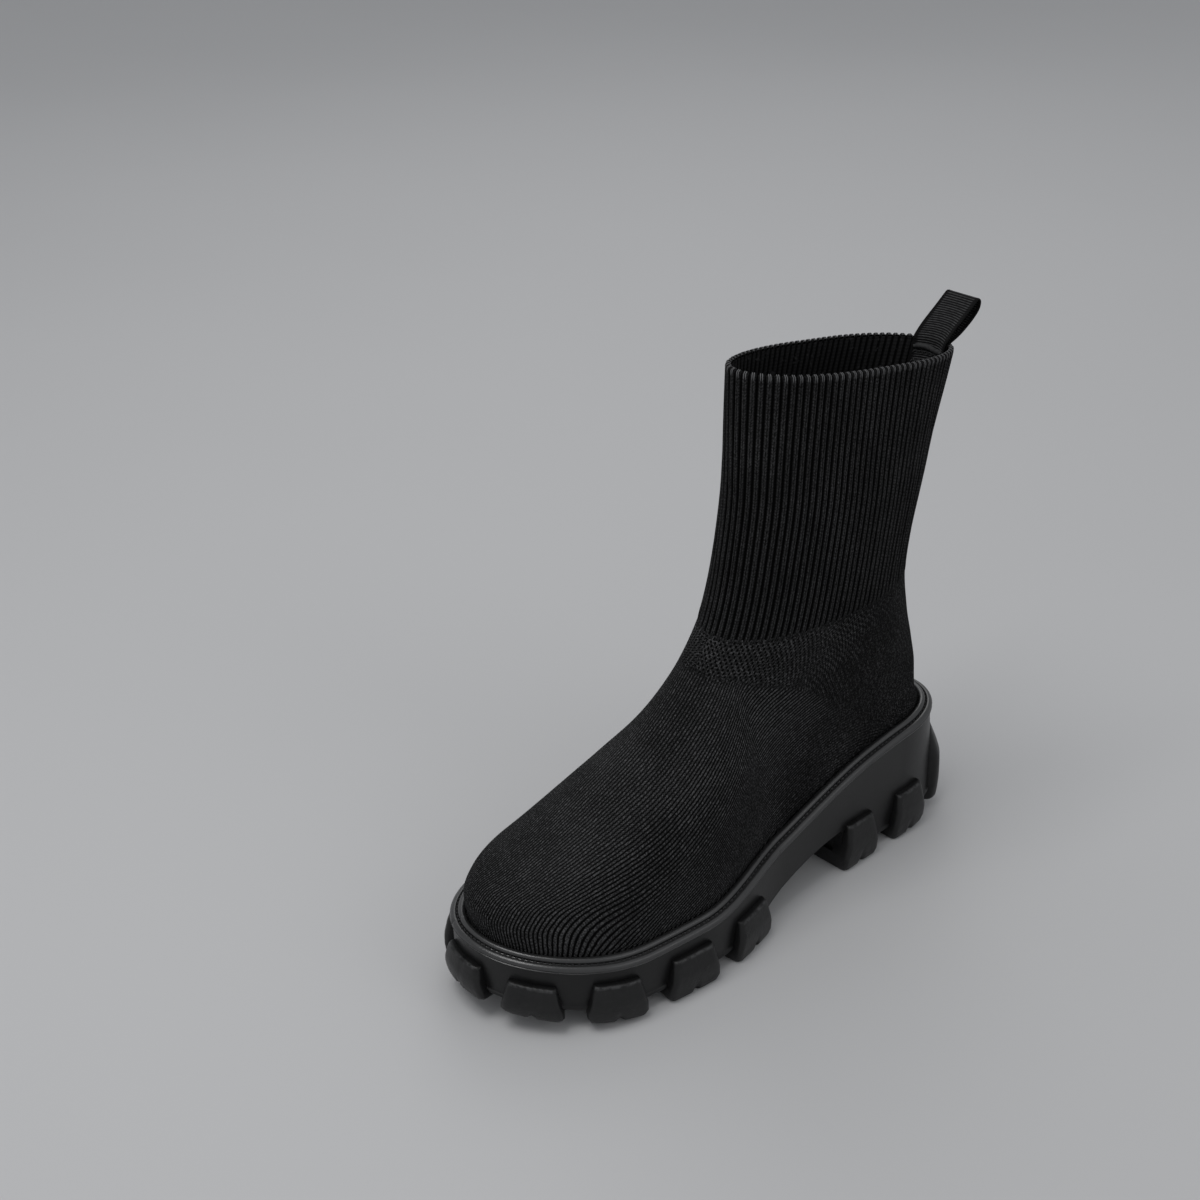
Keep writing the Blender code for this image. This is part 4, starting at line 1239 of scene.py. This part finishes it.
def lug(number, side, start, end, height, top_share, inward):
    """One lug, rounded at its corners and its top: a block outside the side wall that runs inwards."""
    line = edge_side(1 if side == "outer" else -1)
    total = np.linalg.norm(np.diff(line, axis=0), axis=1).sum()
    middle = total * (start + end) / 2
    centre, _ = edge_places(side, [middle])
    depth = inward * half_width(length_share(centre[0, 1]), 1 if side == "outer" else -1)
    chance = np.random.default_rng(40 + number)
    turn = np.linspace(0, math.pi / 2, 6)[:-1]
    flat = np.linspace(0, 1, 23)
    jag = chance.uniform(-1, 1, (2, len(flat) + 2 * len(turn)))

    def level(z, outer, inner, narrow, cut, rough):
        low = total * start + narrow * LUG_TAPER
        high = total * end - narrow * LUG_TAPER
        corner = LUG_CORNER * (1 - np.cos(turn))
        straight = low + LUG_CORNER + (high - low - 2 * LUG_CORNER) * flat
        places = np.concatenate([low + corner, straight, (high - corner)[::-1]])
        drop = LUG_CORNER_DROP * (1 - np.sin(turn))
        drop = np.concatenate([drop, 0 * flat, drop[::-1]])
        notch = np.clip(1 - np.abs(places - middle) / (NOTCH_WIDTH / 2), 0, 1)
        reach = np.maximum(outer - drop - cut * notch - rough * (1 + jag[0]), -0.0010)
        points, out = edge_places(side, np.concatenate([places, [high, middle, low]]))
        reach = np.concatenate([reach, [-inner] * 3]) + heel_flare(out) * (1 - z / HEEL_HEIGHT)
        loop = points + out * reach.reshape(-1, 1)
        raised = lug_lift(loop[:, 1]) * max(1 - z / SILL_HEIGHT, 0)
        lift = np.concatenate([rough * jag[1], [0, 0, 0]])
        return np.column_stack([loop, z + floor_lift(loop[:, 1]) + raised + lift])

    rows = (
        (0.00, LUG_BOTTOM_OUT / LUG_OUT, 0.4),
        (0.16, 0.88, 0.0),
        (0.34, 0.97, 0.1),
        (0.55, 1.00, 0.5),
        (0.80, (1 + top_share) / 2, 0.8),
        (1.00, top_share, 1.1),
    )

    def face(z):
        out, narrow = (curve_through(column(rows, 0), column(rows, k), z / height) for k in (1, 2))
        return LUG_OUT * out, narrow

    levels = []
    notched = ((0.0, 0.0009, 1.0), (0.0003, 0.0004, 0.95), (0.0009, 0.0, 0.8), (NOTCH_HEIGHT, 0.0, 0.2))
    for z, back, cut in notched:
        outer, narrow = face(z)
        levels.append(level(z, outer - back, depth, narrow, cut * NOTCH_DEPTH, 0.0))
    step = 0.06 * height
    for z, inner in ((SILL_HEIGHT + step, depth), (SILL_HEIGHT + 1.4 * step, LUG_ROOT)):
        outer, narrow = face(z)
        levels.append(level(z, outer, inner, narrow, 0.0, 0.0))
    top = height - LUG_TOP_ROUND
    for z in np.linspace(SILL_HEIGHT + 2.5 * step, top, 6):
        outer, narrow = face(z)
        levels.append(level(z, outer, LUG_ROOT, narrow, 0.0, 0.0))
    outer, narrow = face(top)
    for degrees in (25, 50, 75, 90):
        angle = math.radians(degrees)
        back = LUG_TOP_ROUND * (1 - math.cos(angle))
        z = top + LUG_TOP_ROUND * math.sin(angle)
        rough = LUG_TOP_ROUGH * math.sin(angle)
        levels.append(level(z, outer - back, LUG_ROOT, narrow + 0.1 * angle, 0.0, rough))
    count = len(levels[0])
    faces = grid_faces(len(levels), count)
    faces += lug_cap(0, count) + lug_cap((len(levels) - 1) * count, count)
    return facing_out(mesh_piece(f"lug_{number}", np.concatenate(levels), faces))


def joined(body, tool, operation):
    modifier = body.modifiers.new(operation.lower(), "BOOLEAN")
    modifier.operation = operation
    modifier.solver = "EXACT"
    modifier.object = tool
    bpy.context.view_layer.update()
    mesh = bpy.data.meshes.new_from_object(body.evaluated_get(bpy.context.evaluated_depsgraph_get()))
    body.modifiers.clear()
    body.data = mesh
    bpy.data.objects.remove(tool)


def moulded_sole(material):
    """The sole in one piece: its body, less the arch, with every lug."""
    body = sole_body()
    joined(body, arch_block(), "DIFFERENCE")
    for number, row in enumerate(LUG_ROWS):
        joined(body, lug(number, *row), "UNION")
    body.data.shade_smooth()
    body.data.set_sharp_from_angle(angle=math.radians(32))
    points = np.empty(len(body.data.vertices) * 3)
    body.data.vertices.foreach_get("co", points)
    points = points.reshape(-1, 3) + CENTRE
    share = length_share(points[:, 1])
    half = np.where(points[:, 0] > middle_x(share), half_width(share, 1), half_width(share, -1))
    proud = np.abs(points[:, 0] - middle_x(share)) - half * end_rounding(points[:, 1])
    grain = eased((proud - 0.0008) / 0.0012)
    point_value(body, "grain", grain)
    # Painted highlight mask: lug points whose normals tilt upward, neither flat nor upright, are marked for
    # lightening in the finish.
    lean = np.empty(len(points) * 3)
    body.data.vertices.foreach_get("normal", lean)
    lean = lean.reshape(-1, 3)[:, 2]
    point_value(body, "wear_and_painted_highlight", grain * eased((lean - 0.30) / 0.25) * eased((0.97 - lean) / 0.15))
    return dress(body, material, "sole_rubber", "outsole")


# Camera, lights and floor
def camera():
    data = bpy.data.cameras.new("camera")
    data.lens = CAMERA_LENS
    data.sensor_width = 36.0
    data.clip_start = 0.01
    made = bpy.data.objects.new("camera", data)
    axes = Matrix((CAMERA_RIGHT, CAMERA_UP, CAMERA_BACK)).transposed().to_4x4()
    made.matrix_world = Matrix.Translation(CAMERA_PLACE) @ axes
    bpy.context.scene.collection.objects.link(made)
    bpy.context.scene.camera = made


def soft_light(name, place, aim, size, power):
    data = bpy.data.lights.new(name, "AREA")
    data.shape = "SQUARE"
    data.size = size
    data.energy = power
    made = bpy.data.objects.new(name, data)
    made.location = place
    along = np.array(aim, float) - np.array(place, float)
    along /= np.linalg.norm(along)
    back = -along
    right = np.cross([0, 1, 0.01], back)
    right /= np.linalg.norm(right)
    up = np.cross(back, right)
    made.matrix_world = Matrix.Translation(place) @ Matrix((right, up, back)).transposed().to_4x4()
    bpy.context.scene.collection.objects.link(made)


def studio():
    corners = [(-FLOOR_HALF, -FLOOR_HALF, 0), (FLOOR_HALF, -FLOOR_HALF, 0)]
    corners += [(FLOOR_HALF, FLOOR_HALF, 0), (-FLOOR_HALF, FLOOR_HALF, 0)]
    floor = mesh_piece("floor", corners, [(0, 1, 2, 3)], centred=True)
    floor.data.materials.append(pale_floor())
    soft_light("key", (-0.05, -0.55, 1.55), (0, 0, 0.1), 0.75, 6.9)
    soft_light("side_fill", (1.5, 0.5, 1.3), (0, 0, 0.1), 0.8, 1.7)
    soft_light("back_light", (-1.1, 1.0, 1.5), (0, 0, 0.1), 1.0, 3.6)
    world = bpy.data.worlds.new("room")
    world.use_nodes = True
    world.node_tree.nodes["Background"].inputs["Color"].default_value = (0.95, 0.97, 1.0, 1)
    world.node_tree.nodes["Background"].inputs["Strength"].default_value = 0.41
    bpy.context.scene.world = world
    bpy.context.scene.view_settings.view_transform = "Standard"


camera()
studio()
knit_foot(foot_knit())
ribbed_shaft(ribbed_knit())
shaft_lining(lining_knit())
webbing = strap_webbing()
sewing_thread = thread()
pull_strap(webbing)
collar_fold(webbing, sewing_thread)
welt_strip(bead_rubber())
groove_stitches(sewing_thread)
moulded_sole(moulded_rubber())
footbed(footbed_fabric())
